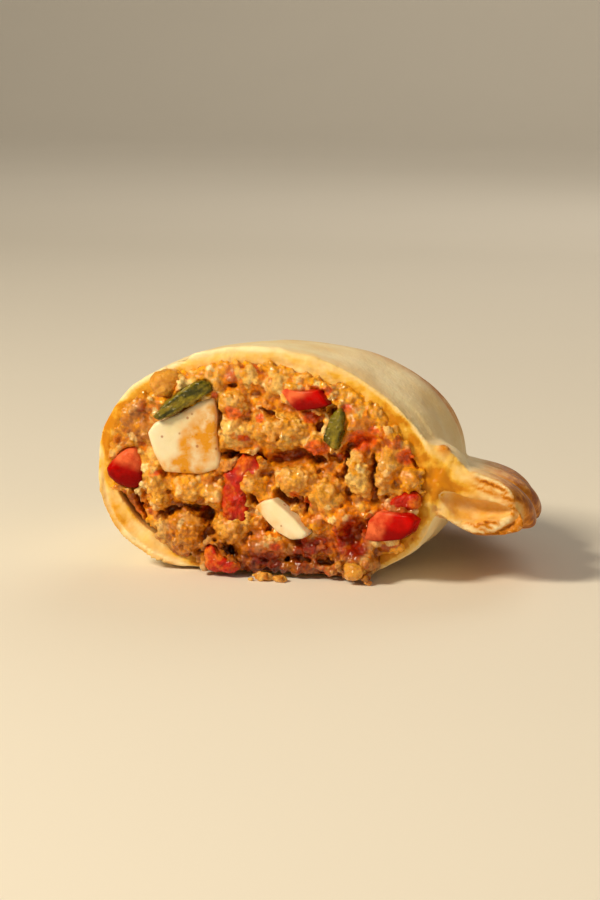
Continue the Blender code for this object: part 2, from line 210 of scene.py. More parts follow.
def joined(surfaces: list[Surface]) -> Surface:
    """Several surfaces as one, with their faces' point numbers moved on."""
    starts = np.cumsum([0] + [len(s.points) for s in surfaces[:-1]])
    return Surface(
        np.concatenate([s.points for s in surfaces]),
        np.concatenate([s.quads + n for s, n in zip(surfaces, starts)]),
        np.concatenate([s.fans + n for s, n in zip(surfaces, starts)]),
    )


def grid_faces(index: Array) -> Array:
    """The four-sided faces between neighbours in a grid of point numbers."""
    corners = [index[:-1, :-1], index[:-1, 1:], index[1:, 1:], index[1:, :-1]]
    return np.stack(corners, -1).reshape(-1, 4)


def lofted(rings: Array, start: Array, end: Array) -> Surface:
    """A closed skin over rings of points, with a fan of triangles to a pole at each end.

    Args:
        rings: an array of rings by points by three.
        start: the pole before the first ring.
        end: the pole after the last ring.

    Returns:
        The surface, facing outwards.
    """
    count, around = rings.shape[:2]
    row, column = np.meshgrid(np.arange(count - 1), np.arange(around), indexing="ij")
    near = row * around + column
    far = row * around + (column + 1) % around
    quads = np.stack([near, far, far + around, near + around], axis=-1).reshape(-1, 4)
    here = np.arange(around)
    after = (here + 1) % around
    last = (count - 1) * around
    south, north = np.full(around, count * around), np.full(around, count * around + 1)
    fans = np.concatenate(
        [np.stack([after, here, south], -1), np.stack([last + here, last + after, north], -1)]
    )
    points = np.concatenate([rings.reshape(-1, 3), [start], [end]])
    return Surface(points, quads, fans).turned_out()


def ball(rings: int, turns: int) -> Surface:
    """A ball of radius one with its poles closed."""
    up = np.linspace(-0.5, 0.5, rings + 2)[1:-1, None] * math.pi
    turn = np.linspace(0, 2 * math.pi, turns, endpoint=False)[None, :]
    level = np.cos(up)
    unit = np.stack([level * np.cos(turn), level * np.sin(turn), np.sin(up) + 0 * turn], -1)
    return lofted(unit, np.array((0, 0, -1.0)), np.array((0, 0, 1.0)))


def rounded_ring(outline: tuple, corner: float, around: int) -> tuple[Array, Array]:
    """Evenly spaced points round an outline, with its corners blurred by a Gaussian along the run.

    Args:
        outline: corners in the plane of the cut, x and z in millimetres.
        corner: the width of the blur in millimetres.
        around: how many points.

    Returns:
        Places about the middle, and the middle, in metres.
    """
    corners = np.array(outline) * MM
    middle = corners.mean(axis=0)
    ring = corners[np.arange(len(corners) + 1) % len(corners)] - middle
    run = np.concatenate([[0], np.cumsum(np.linalg.norm(np.diff(ring, axis=0), axis=1))])
    even = np.linspace(0, run[-1], around, endpoint=False)
    edge = np.stack([np.interp(even, run, ring[:, k]) for k in range(2)], -1)
    waves = np.fft.fftfreq(around, run[-1] / around)
    blur = np.exp(-2 * (math.pi * waves * corner * MM) ** 2)[:, None]
    return np.fft.ifft(np.fft.fft(edge, axis=0) * blur, axis=0).real, middle


def get_vectors(mesh: bpy.types.Mesh, normals: bool = False) -> Array:
    """The mesh's points, or its point normals, as an array of three columns."""
    source = mesh.vertex_normals if normals else mesh.vertices
    flat = np.empty(3 * len(mesh.vertices), np.float32)
    source.foreach_get("vector" if normals else "co", flat)
    return flat.reshape(-1, 3).astype(float)


def set_points(mesh: bpy.types.Mesh, points: Array) -> None:
    """Moves the mesh's points to these places."""
    mesh.vertices.foreach_set("co", points.astype(np.float32).ravel())
    mesh.update()


def set_colour(mesh: bpy.types.Mesh, name: str, columns: Array) -> None:
    """Stores three columns of numbers as a colour attribute on the points.

    Args:
        mesh: the mesh.
        name: the attribute's name, which a material reads.
        columns: three numbers for each point, linear.
    """
    layer = mesh.color_attributes.new(name, "FLOAT_COLOR", "POINT")
    filled = np.concatenate([columns, np.ones((len(columns), 1))], axis=1)
    layer.data.foreach_set("color", filled.astype(np.float32).ravel())


def apply_modifiers(obj: bpy.types.Object) -> None:
    """Replaces the object's mesh by what its modifiers make of it."""
    graph = bpy.context.evaluated_depsgraph_get()
    graph.update()
    done = bpy.data.meshes.new_from_object(obj.evaluated_get(graph))
    obj.modifiers.clear()
    old = obj.data
    obj.data = done
    bpy.data.meshes.remove(old)


def remesh(obj: bpy.types.Object, voxel: float) -> None:
    """Fuses everything in a closed mesh into one even skin.

    Args:
        obj: the object whose mesh is replaced.
        voxel: the side of the new faces.
    """
    modifier = obj.modifiers.new("Fuse", "REMESH")
    modifier.mode = "VOXEL"
    modifier.voxel_size = voxel
    apply_modifiers(obj)


def cut_away(obj: bpy.types.Object, surface: Surface) -> None:
    """Takes the room inside a closed surface out of the object.

    Args:
        obj: the object that is cut.
        surface: the closed surface of the cutter.
    """
    cutter = surface.to_object("cutter")
    modifier = obj.modifiers.new("Cut", "BOOLEAN")
    modifier.operation = "DIFFERENCE"
    modifier.solver = "MANIFOLD"
    modifier.object = cutter
    apply_modifiers(obj)
    bpy.data.objects.remove(cutter)


def dress(obj: bpy.types.Object, material: bpy.types.Material) -> None:
    """Gives every face of the object one material and shades it smoothly."""
    mesh = obj.data
    mesh.materials.clear()
    mesh.materials.append(material)
    mesh.polygons.foreach_set("material_index", np.zeros(len(mesh.polygons), np.int32))
    mesh.shade_smooth()


def relax(obj: bpy.types.Object, rounds: int) -> None:
    """Evens out the steps that a remesh leaves."""
    modifier = obj.modifiers.new("Relax", "SMOOTH")
    modifier.factor = 0.5
    modifier.iterations = rounds
    apply_modifiers(obj)


def thin_out(obj: bpy.types.Object, hidden: Array) -> None:
    """Makes the faces that nothing shows few and large.

    Args:
        obj: the object whose mesh is thinned.
        hidden: true for each point that is out of sight.
    """
    group = obj.vertex_groups.new(name="hidden")
    group.add(np.flatnonzero(hidden).tolist(), 1.0, "REPLACE")
    modifier = obj.modifiers.new("Thin", "DECIMATE")
    modifier.vertex_group = "hidden"
    modifier.ratio = 1 - 0.9 * hidden.mean()
    apply_modifiers(obj)
    obj.vertex_groups.clear()


# Materials


def from_hex(code: str) -> Colour:
    """The linear colour of an sRGB hex code.

    Args:
        code: six hex digits, with or without a hash.

    Returns:
        Red, green, blue and an alpha of 1.
    """
    digits = code.lstrip("#")
    parts = [int(digits[k : k + 2], 16) / 255.0 for k in (0, 2, 4)]
    linear = [v / 12.92 if v <= 0.04045 else ((v + 0.055) / 1.055) ** 2.4 for v in parts]
    return (*linear, 1.0)


def blended(under: Array, over: Array, share: Array) -> Array:
    """Two sets of colours mixed: under * (1 - share) + over * share."""
    return under * (1 - share) + over * share


def hex_rows(codes: list[str]) -> Array:
    """The linear colours of several hex codes, a row for each."""
    return np.array([from_hex(code)[:3] for code in codes])


def per_mm(size_mm: float) -> float:
    """The scale that makes a pattern's features this many millimetres wide."""
    return 1.0 / (size_mm * MM)


# The output that is a node's result, where that isn't its first.
RESULT = {"ShaderNodeMix": 2}
RGBA = {"data_type": "RGBA"}
TIMES = {"operation": "MULTIPLY"}


@dataclass
class Paint:
    """A node material being put together round one Principled shader."""

    material: bpy.types.Material

    @classmethod
    def named(cls, name: str) -> "Paint":
        """Starts a material that holds only its shader and its output."""
        material = bpy.data.materials.new(name)
        material.use_nodes = True
        return cls(material)

    @property
    def shader(self) -> bpy.types.Node:
        """The Principled shader."""
        return self.material.node_tree.nodes["Principled BSDF"]

    def wire(self, node: bpy.types.Node, **links: object) -> bpy.types.Node:
        """Sets a node's inputs or joins them to other nodes.

        Args:
            node: the node.
            **links: input names with underscores for spaces, or i and a number, each with a
                value, a socket, or a node whose result is meant.

        Returns:
            The same node.
        """
        for key, value in links.items():
            numbered = key[0] == "i" and key[1:].isdigit()
            socket = node.inputs[int(key[1:]) if numbered else key.replace("_", " ")]
            if isinstance(value, bpy.types.Node):
                value = value.outputs[RESULT.get(value.bl_idname, 0)]
            if isinstance(value, bpy.types.NodeSocket):
                self.material.node_tree.links.new(value, socket)
            else:
                socket.default_value = value
        return node

    def add(self, kind: str, settings: dict | None = None, **links: object) -> bpy.types.Node:
        """Adds one node.

        Args:
            kind: the node's type name.
            settings: attributes set on the node itself.
            **links: its inputs, as wire takes them.

        Returns:
            The node.
        """
        node = self.material.node_tree.nodes.new(kind)
        for key, value in (settings or {}).items():
            setattr(node, key, value)
        return self.wire(node, **links)

    def layered(self, colour: object, *layers: tuple) -> bpy.types.Node:
        """Lays colours over one another, each by a share that rises with what it follows.

        Args:
            colour: the colour underneath, or its node.
            *layers: for each, what it follows, where its share starts, where it is full, how much
                that is, and its hex code.

        Returns:
            The node of the last colour.
        """
        for source, begin, full, most, code in layers:
            share = self.add("ShaderNodeMapRange", i0=source, i1=begin, i2=full, i3=0.0, i4=most)
            colour = self.add("ShaderNodeMix", RGBA, i0=share, i6=colour, i7=from_hex(code))
        return colour


@dataclass(frozen=True)
class DoughFinish:
    """Baked wheat dough with beef dripping: cream skin, satin, browned where it stands proud."""

    skin: str = "#F8E8BC"
    skin_deep: str = "#EFD196"
    cut_edge: str = "#FBE9B8"
    soaked: str = "#F3BE40"
    soaked_deep: str = "#D08208"
    # The soaked, golden, brown and sauce colours also serve as painted shade where their shares are
    # raised for it: on the crimp's face, along crack lines and at the foot of the cut face.
    golden: str = "#D98816"
    brown: str = "#8C4002"
    sauce: str = "#561404"

    def material(self) -> bpy.types.Material:
        """The dough's material, which reads the soak, browning and cut-edge shares of the mesh; the
        soak and browning shares also carry painted shade.
        """
        paint = Paint.named("baked_dough")
        add = paint.add
        zones = add("ShaderNodeAttribute", {"attribute_name": "zones"})
        soak, browning, edge = add("ShaderNodeSeparateColor", Color=zones).outputs
        place = add("ShaderNodeTexCoord").outputs["Object"]
        # Width of the features in millimetres, detail and roughness.
        widths = (
            (7.0, 4.0, 0.55), (0.9, 3.0, 0.65), (2.2, 3.0, 0.55),
            (1.6, 4.0, 0.6), (2.6, 3.0, 0.55), (0.5, 3.0, 0.6),
        )
        blotch, speck, soak_grain, brown_grain, swell, grain = (
            add("ShaderNodeTexNoise", Vector=place, Scale=per_mm(size), Detail=fine, Roughness=rough)
            for size, fine, rough in widths
        )
        soak_grain = add("ShaderNodeMapRange", i0=soak_grain, i1=0.3, i2=0.6, i3=0.55, i4=1.25)
        brown_grain = add("ShaderNodeMapRange", i0=brown_grain, i1=0.3, i2=0.65, i3=0.5, i4=1.4)
        soak = add("ShaderNodeMath", TIMES, i0=soak, i1=soak_grain)
        brown = add("ShaderNodeMath", TIMES, i0=browning, i1=brown_grain)
        colour = paint.layered(
            from_hex(self.skin),
            (blotch, 0.35, 0.68, 1.0, self.skin_deep),
            (speck, 0.56, 0.74, 0.45, self.skin_deep),
            (edge, 0.0, 1.0, 1.0, self.cut_edge),
            (soak, 0.0, 0.75, 1.0, self.soaked),
            (soak, 0.65, 1.15, 0.95, self.soaked_deep),
            (brown, 0.05, 0.7, 1.0, self.golden),
            (brown, 0.65, 1.25, 0.9, self.brown),
            (browning, 1.1, 1.7, 1.0, self.sauce),
        )
        swells = add("ShaderNodeBump", Height=swell, Distance=0.25 * MM, Strength=1.0)
        paint.wire(
            paint.shader,
            Base_Color=colour,
            Roughness=add("ShaderNodeMapRange", i0=soak, i1=0.1, i2=1.0, i3=0.5, i4=0.3),
            Normal=add("ShaderNodeBump", Height=grain, Distance=0.07 * MM, Strength=1.0, Normal=swells),
            Subsurface_Weight=0.12,
            Subsurface_Radius=(1.0, 0.6, 0.25),
            Subsurface_Scale=1.2 * MM,
            Specular_IOR_Level=0.16,
            Coat_Weight=0.06,
            Coat_Roughness=0.25,
        )
        return paint.material


@dataclass(frozen=True)
class BeefFinish:
    """Minced beef stewed with paprika: granular, wet with orange fat, glinting all over."""

    fat: str = "#E08A14"
    fibre_mm: float = 0.7

    @staticmethod
    def shared() -> bpy.types.Material:
        """The one beef material, made at its first use."""
        return bpy.data.materials.get("minced_beef") or BeefFinish().material()

    def material(self) -> bpy.types.Material:
        """The beef's material, whose colour starts from the mesh's own tint."""
        paint = Paint.named("minced_beef")
        add = paint.add
        tint = add("ShaderNodeAttribute", {"attribute_name": "tint"})
        place = add("ShaderNodeTexCoord").outputs["Object"]
        # Width of the features in millimetres, detail and roughness.
        widths = (
            (0.55, 4.0, 0.65), (2.6, 4.0, 0.55), (1.1, 2.0, 0.55), (0.35, 3.0, 0.6), (0.8, 3.0, 0.55)
        )
        grain, fatty, wet, coarse, glint = (
            add("ShaderNodeTexNoise", Vector=place, Scale=per_mm(size), Detail=fine, Roughness=rough)
            for size, fine, rough in widths
        )
        grain = add("ShaderNodeMapRange", i0=grain, i1=0.3, i2=0.72, i3=0.62, i4=1.42)
        shade = add("ShaderNodeCombineColor", i0=grain, i1=grain, i2=grain)
        colour = add("ShaderNodeMix", {**RGBA, "blend_type": "MULTIPLY"}, i0=1.0, i6=tint, i7=shade)
        fibres = add("ShaderNodeTexVoronoi", Vector=place, Scale=per_mm(self.fibre_mm))
        fibres = add("ShaderNodeBump", Height=fibres, Distance=0.14 * MM, Strength=1.0)
        paint.wire(
            paint.shader,
            Base_Color=paint.layered(colour, (fatty, 0.47, 0.66, 0.5, self.fat)),
            Roughness=add("ShaderNodeMapRange", i0=wet, i1=0.35, i2=0.65, i3=0.3, i4=0.55),
            Normal=add("ShaderNodeBump", Height=coarse, Distance=0.1 * MM, Strength=1.0, Normal=fibres),
            Coat_Normal=add("ShaderNodeBump", Height=glint, Distance=0.2 * MM, Strength=1.0),
            Subsurface_Weight=0.1,
            Subsurface_Radius=(1.0, 0.4, 0.12),
            Subsurface_Scale=0.8 * MM,
            Specular_IOR_Level=0.06,
            Coat_Weight=0.9,
            Coat_Roughness=0.045,
        )
        return paint.material


@dataclass(frozen=True)
class MorselFinish:
    """Cooked egg or vegetable: two colours that blend in patches, wet, and lit a little within."""

    name: str
    light: str
    deep: str
    # The colour of stains, and on the pepper of a painted highlight.
    stain_and_painted_light: str
    patch_mm: float
    roughness: float
    bump_mm: float
    glow: float
    coat: float
    specular: float = 0.15
    specks: float = 0.0
    speck_colour: str = "#A8560E"
    speck_mm: float = 2.1

    def material(self) -> bpy.types.Material:
        """The morsel's material, which reads the share of staining and painted light that its mesh
        holds.
        """
        paint = Paint.named(self.name)
        add = paint.add
        zones = add("ShaderNodeAttribute", {"attribute_name": "zones"})
        stain_and_painted_light, deepening, _ = add("ShaderNodeSeparateColor", Color=zones).outputs
        place = add("ShaderNodeTexCoord").outputs["Object"]
        # Width of the features in millimetres, detail and roughness.
        widths = (
            (self.patch_mm, 4.0, 0.6), (1.8, 4.0, 0.6), (0.9, 2.0, 0.55),
            (0.6, 3.0, 0.6), (0.9, 3.0, 0.6),
        )
        patch, uneven, wet, grain, glint = (
            add("ShaderNodeTexNoise", Vector=place, Scale=per_mm(size), Detail=fine, Roughness=rough)
            for size, fine, rough in widths
        )
        patch = add("ShaderNodeMapRange", i0=patch, i1=0.32, i2=0.68, i3=0.0, i4=0.6)
        uneven = add("ShaderNodeMapRange", i0=uneven, i1=0.34, i2=0.64, i3=0.35, i4=1.4)
        deeper = add("ShaderNodeMath", {"use_clamp": True}, i0=patch, i1=deepening)
        stained = add("ShaderNodeMath", {**TIMES, "use_clamp": True}, i0=stain_and_painted_light, i1=uneven)
        layers = [(deeper, 0.0, 1.0, 1.0, self.deep), (stained, 0.0, 1.0, 1.0, self.stain_and_painted_light)]
        if self.specks:
            dots = add("ShaderNodeTexVoronoi", Vector=place, Scale=per_mm(self.speck_mm))
            layers.append((dots, 0.14, 0.08, self.specks, self.speck_colour))
        low, high = 0.7 * self.roughness, 1.3 * self.roughness
        glint_depth = 0.9 * self.bump_mm * MM
        paint.wire(
            paint.shader,
            Base_Color=paint.layered(from_hex(self.light), *layers),
            Roughness=add("ShaderNodeMapRange", i0=wet, i1=0.35, i2=0.65, i3=low, i4=high),
            Normal=add("ShaderNodeBump", Height=grain, Distance=self.bump_mm * MM, Strength=1.0),
            Coat_Normal=add("ShaderNodeBump", Height=glint, Distance=glint_depth, Strength=1.0),
            Subsurface_Weight=self.glow,
            Subsurface_Radius=(1.0, 0.5, 0.25),
            Subsurface_Scale=1.5 * MM,
            Specular_IOR_Level=self.specular,
            Coat_Weight=self.coat,
            Coat_Roughness=0.05,
        )
        return paint.material


class Morsels(Enum):
    """The finishes of what is mixed into the beef."""

    EGG = MorselFinish(
        "boiled_egg_white", "#F4EACC", "#EEDCA6", "#E39A18",
        patch_mm=3.5, roughness=0.26, bump_mm=0.05, glow=0.25, coat=0.25, specks=0.7,
    )
    # The pepper's orange-pink on one side is a painted highlight and glow, partly the paler cut flesh;
    # its deeper red towards the bottom is painted shade, partly the darker skin.
    PEPPER = MorselFinish(
        "cooked_red_pepper", "#D00A02", "#8A0200", "#EE7444",
        patch_mm=2.0, roughness=0.28, bump_mm=0.06, glow=0.02, coat=0.12, specular=0.02,
    )
    TOMATO = MorselFinish(
        "stewed_tomato", "#CE2606", "#940A02", "#E67A1C",
        patch_mm=1.0, roughness=0.3, bump_mm=0.4, glow=0.08, coat=0.4, specular=0.08,
    )
    SPRING_ONION = MorselFinish(
        "cooked_spring_onion", "#93821A", "#3A3A06", "#B0902A",
        patch_mm=0.8, roughness=0.25, bump_mm=0.36, glow=0.04, coat=0.6, specular=0.04,
    )
    ONION = MorselFinish(
        "cooked_onion", "#E6A63A", "#B87018", "#B8661A",
        patch_mm=1.2, roughness=0.3, bump_mm=0.16, glow=0.4, coat=0.8, specular=0.1,
    )


# The crust


class Region(Enum):
    """Soft-edged parts of the cut face: each ramp's axis, start and full place in millimetres."""

    BOTTOM = (("z", 9.0, 2.0), ("x", -17.0, -8.0))
    RIGHT = (("x", 4.0, 14.0),)
    LOWER_LEFT = (("x", -9.0, -17.0), ("z", 15.0, 10.0))
    LOWER_RIGHT = (("x", 17.0, 20.0), ("z", 14.0, 12.0))
    AMBER = (("z", 17.0, 22.0), ("z", 26.5, 24.5), ("x", -18.0, -21.0))
    HIGH_LEFT = (("x", -15.0, -20.0), ("z", 12.0, 17.0))
    ROOF = (("z", 25.0, 29.0), ("x", -14.0, -9.0))
    LEFT_EDGE = (("x", -12.0, -22.0), ("z", 24.0, 14.0))
    SHOULDER = (("x", 0.0, 8.0), ("z", 20.0, 27.0))
    RAGGED_LEFT = (("x", -9.0, -15.0), ("z", 17.0, 12.0))
    STEP = (("x", -11.3, -11.8), ("x", -20.0, -14.0), ("z", 20.0, 24.0))
    DRAWN_IN = (("x", -8.0, -20.0), ("z", 17.0, 9.0))
    GAP = (("x", -14.0, -19.0), ("z", 15.0, 10.0))

    def share(self, points: Array) -> Array:
        """How far each point is inside the region, from 0 to 1: the product of its ramps."""
        inside = np.ones(len(points))
        for axis, start, full in self.value:
            inside *= ramp(start, full, points[:, "xyz".index(axis)])
        return inside


@dataclass(frozen=True)
class Places:
    """Where the crust's points lie, by each measure that its relief and colours go by.

    run, out and up are the place along the crimp, outwards from its middle line and upwards from
    it. deep is the depth under the outer skin, and behind the distance behind the cut.
    """

    points: Array
    normals: Array
    run: Array
    out: Array
    up: Array
    deep: Array
    behind: Array

    @property
    def x(self) -> Array:
        """Places across the cut."""
        return self.points[:, 0]

    @property
    def z(self) -> Array:
        """Heights above the floor."""
        return self.points[:, 2]

    @property
    def facing(self) -> Array:
        """1 on the cut face, 0 elsewhere."""
        return smooth_step(0.35, 0.8, -self.normals[:, 1]) * ramp(1.9, 1.0, self.behind)

    @property
    def on_crimp(self) -> Array:
        """1 on the crimp, 0 on the pillow."""
        return ramp(-6.0, -1.0, self.out)

    @property
    def upper(self) -> Array:
        """1 on the crimp's upper layer, 0 on its lower one."""
        return ramp(-2.4, -0.8, self.up)

    def noise(self, span_mm: float, seed: int, octaves: int = 1) -> Array:
        """Smooth noise at the points, from -1 to 1, its cells this many millimetres wide."""
        return soft_noise(self.points, span_mm * MM, seed, octaves)

    def plies(self) -> Array:
        """Thin leaves of dough that follow the skin, from -1 to 1."""
        return plane_noise(self.deep, (self.x + self.z) * 0.12, 0.75, 27, 2)

    def streaks(self) -> Array:
        """Thin leaves of dough that run across the crimp, from -1 to 1."""
        return plane_noise(self.out * 0.12, self.up, 0.45, 23, 2)


@dataclass
class Crust:
    """The folded sheet of dough with its rope crimp, open at the cut."""

    cut_y: float = -20.0 * MM
    length: float = 53.0 * MM
    height: float = 35.0 * MM
    fold_x: float = -26.2 * MM
    seam_x: float = 27.0 * MM
    seam_swell: float = 1.5 * MM
    tip_x: float = -19.0 * MM
    widest_z: float = 16.3 * MM
    crown_share: float = 0.49
    wall: float = 1.9 * MM
    wall_angles: tuple = (0, 25, 50, 80, 100, 135, 160, 180, 205, 230, 250, 290, 315, 340, 360)
    wall_sizes: tuple = (2.6, 3.3, 3.3, 3.0, 2.8, 2.8, 2.6, 2.4, 3.3, 3.2, 1.7, 1.5, 2.2, 2.4, 2.6)
    wall_reach: float = 7.0 * MM
    hollow_length: float = 49.8 * MM
    plan_power: float = 2.6
    flat_sink: float = 0.6 * MM
    front_lift: float = 0.7 * MM
    front_lift_reach: float = 4.0 * MM
    crimp_x: float = 34.2 * MM
    crimp_tip_y: float = 33.5 * MM
    crimp_z: float = 12.2 * MM
    crimp_tip_z: float = 6.2 * MM
    crimp_out: float = 6.3 * MM
    crimp_in: float = 11.5 * MM
    crimp_half_thick: float = 4.5 * MM
    crimp_taper: float = 0.62
    crimp_tilt: float = math.radians(-22.0)
    lobe_pitch: float = 11.0 * MM
    lobe_depth: float = 0.34
    lobe_slant: float = 0.55
    lobe_phase: float = 0.62
    under_share: float = 0.92
    under_less_out: float = 0.5
    web_centre: tuple = (26.9 * MM, -20.0 * MM, 18.8 * MM)
    web_radii: tuple = (4.6 * MM, 8.0 * MM, 2.2 * MM)
    web_tilt: float = math.radians(-26.0)
    slot_outline: tuple = (
        (27.0, 14.1), (29.0, 14.3), (32.0, 13.4), (35.8, 13.0), (38.6, 12.3), (37.7, 11.0),
        (35.8, 10.4), (32.8, 9.8), (31.3, 9.9), (29.8, 10.5), (28.7, 11.5), (27.7, 12.6),
    )
    slot_depth: float = 3.4 * MM
    slot_middle: tuple = (32.9 * MM, 11.9 * MM)
    slot_radii: tuple = (6.0 * MM, 2.2 * MM)
    lip_middle: tuple = (33.0 * MM, 12.5 * MM)
    lip_radii: tuple = (6.4 * MM, 4.6 * MM)
    crimp_root: float = -9.0 * MM
    cut_wave: float = 0.55 * MM
    knife_reach: float = 60.0 * MM
    overshoot: float = 3.0 * MM
    hidden_depth: float = 1.1 * MM
    hidden_behind: float = 7.0 * MM
    swell_mm: float = 0.5
    pleat_mm: float = 0.3
    grain_mm: float = 0.05
    dent_mm: float = 0.6
    dent_radius_mm: float = 7.0
    dent_middle: tuple = (16.0 * MM, 9.0 * MM, 27.5 * MM)
    ragged_mm: float = 0.24
    step_mm: float = 0.4
    fold_mm: float = 0.7
    lip_leaf_mm: float = 0.4
    crimp_leaf_mm: float = 0.3
    crack_mm: float = 0.5
    around: int = 320
    stations: int = 120

    def sizes(self, t: Array) -> tuple[Array, ...]:
        """Left, right, crown, top and widest level of the pillow's section.

        Args:
            t: the share of the way from the cut to the tip.

        Returns:
            Five arrays like t.
        """
        left = self.tip_x - (self.tip_x - self.fold_x) * np.sqrt(np.clip(1 - t**5, 0, 1))
        reach = np.clip(1 - t**self.plan_power, 0, 1) ** (1 / self.plan_power)
        right = self.tip_x + (self.seam_x - self.tip_x) * reach
        right = right + self.seam_swell * np.sin(math.pi * t**0.7)
        top = self.height * np.clip(1 - t**2.6, 0, 1) ** 0.6
        middle = self.widest_z * (top / self.height) ** 0.9
        return left, right, left + self.crown_share * (right - left), top, middle

    def powers(self, t: Array, across: Array, up: Array) -> Array:
        """The superellipse power of the quarter of the section that a direction points into."""
        behind = smooth_step(0.03, 0.35, t)
        upper = np.where(across < 0, 2.05 - 0.3 * behind, 1.72 + 0.5 * behind)
        return np.where(up >= 0, upper, np.where(across < 0, 2.7, 2.6))

    def section(self, t: Array, angle: Array, inset: Array | float) -> tuple[Array, Array]:
        """Points of the section: |x/reach|^n + |z/rise|^n = 1, with its own n in each quarter.

        Args:
            t: shares from the cut to the tip.
            angle: directions round the section.
            inset: how far inside the outer skin it lies.

        Returns:
            x and z, before the underside is lifted flat.
        """
        left, right, crown, top, middle = self.sizes(t)
        room = top - 2 * inset
        middle = np.clip(middle, inset + 0.35 * room, inset + 0.6 * room)
        across, up = np.cos(angle), np.sin(angle)
        power = self.powers(t, across, up)
        rise = np.where(up >= 0, top - middle - inset, middle - inset + self.flat_sink)
        reach = np.maximum(np.where(across < 0, crown - left, right - crown) - inset, 0)
        x = crown + reach * signed_power(across, 2 / power)
        z = middle + np.maximum(rise, 0) * signed_power(up, 2 / power)
        return x, z

    def wall_at(self, angle: Array, behind: Array) -> Array:
        """The wall's thickness in a direction, which near the cut follows the sheet's own unevenness.

        Args:
            angle: directions round the section.
            behind: distances behind the cut.

        Returns:
            Thicknesses in metres.
        """
        degrees = np.degrees(angle) % 360
        local = np.interp(degrees, self.wall_angles, self.wall_sizes) * MM
        share = smooth_step(self.wall_reach, 0.3 * self.wall_reach, behind)
        return self.wall + (local - self.wall) * share

    def pillow(
        self, inner: float | None, length: float, start_y: float, around: int, stations: int
    ) -> Surface:
        """The pillow's skin, lofted over sections from in front of the cut to the tip.

        Args:
            inner: None for the outer skin, or how far into the wall the inner skin reaches.
            length: from the cut to its tip.
            start_y: where it starts, in front of the cut.
            around: points round a section.
            stations: sections along it.

        Returns:
            The closed surface.
        """
        t = np.sin(np.arange(stations) / stations * math.pi / 2)
        left, right, _, top, _ = self.sizes(t)
        if inner is not None:
            t = t[np.minimum(top, right - left) - 2 * self.wall > 3.5 * MM]
        t = np.concatenate([[0.0], t])[:, None]
        angle = np.linspace(0, 2 * math.pi, around, endpoint=False)[None, :]
        inset = 0.0 if inner is None else self.wall_at(angle, t * length) - inner
        x, z = self.section(t, angle, inset)
        y = self.cut_y + t * length + 0 * angle
        y[0] = start_y
        lift = self.front_lift * (1 - smooth_step(0, self.front_lift_reach, y - self.cut_y))
        rings = np.stack([x, y, np.maximum(z, np.maximum(inset, lift + inset))], axis=-1)
        if inner is None:
            tip = (self.tip_x, self.cut_y + length, float(self.sizes(np.array(0.99))[4]))
        else:
            tip = (rings[-1, :, 0].mean(), self.cut_y + length, rings[-1, :, 2].mean())
        return lofted(rings, rings[0].mean(axis=0), np.array(tip))

    def crimp_path(self, count: int) -> tuple[Array, Array, Array, Array, Array]:
        """The crimp's middle line, a superellipse in plan that sinks towards the tip.

        Args:
            count: points along it, equally far apart.

        Returns:
            Points, distances from the cut, and the directions ahead, out and up at each.
        """
        angle = np.linspace(0, 0.985, 600) * math.pi / 2
        share = np.sin(angle) ** (2 / self.plan_power)
        x = self.tip_x + (self.crimp_x - self.tip_x) * np.cos(angle) ** (2 / self.plan_power)
        y = self.cut_y + (self.crimp_tip_y - self.cut_y) * share
        z = self.crimp_z + (self.crimp_tip_z - self.crimp_z) * share**0.8
        run = np.concatenate([[0.0], np.cumsum(np.hypot(np.diff(x), np.diff(y)))])
        even = np.linspace(0, run[-1], count)
        points = np.stack([np.interp(even, run, values) for values in (x, y, z)], axis=-1)
        ahead = np.gradient(points, axis=0)
        ahead /= np.linalg.norm(ahead, axis=1, keepdims=True)
        out = np.cross(ahead, (0.0, 0.0, 1.0))
        out /= np.linalg.norm(out, axis=1, keepdims=True)
        up = np.cross(out, ahead)
        turned = out * math.cos(self.crimp_tilt) + up * math.sin(self.crimp_tilt)
        up = up * math.cos(self.crimp_tilt) - out * math.sin(self.crimp_tilt)
        return points, even, ahead, turned, up

    def crimp_size(self, share: Array) -> Array:
        """The crimp's size along its run, smaller towards the tip and rounded at its end."""
        size = 1 - (1 - self.crimp_taper) * smooth_step(0.35, 1.0, share)
        return size * np.sqrt(1 - np.minimum(0.9, smooth_step(0.9, 1.0, share)))

    def lobe(self, run: Array, turn: Array) -> Array:
        """How full the rope is: each lobe swells quickly and falls away slowly to the next crease."""
        phase = run / self.lobe_pitch + self.lobe_slant * np.sin(turn) + self.lobe_phase
        share = (phase % 1.0) ** 0.75
        crest = np.sin(math.pi * share) ** 0.55
        return 1 - self.lobe_depth + self.lobe_depth * 1.25 * crest

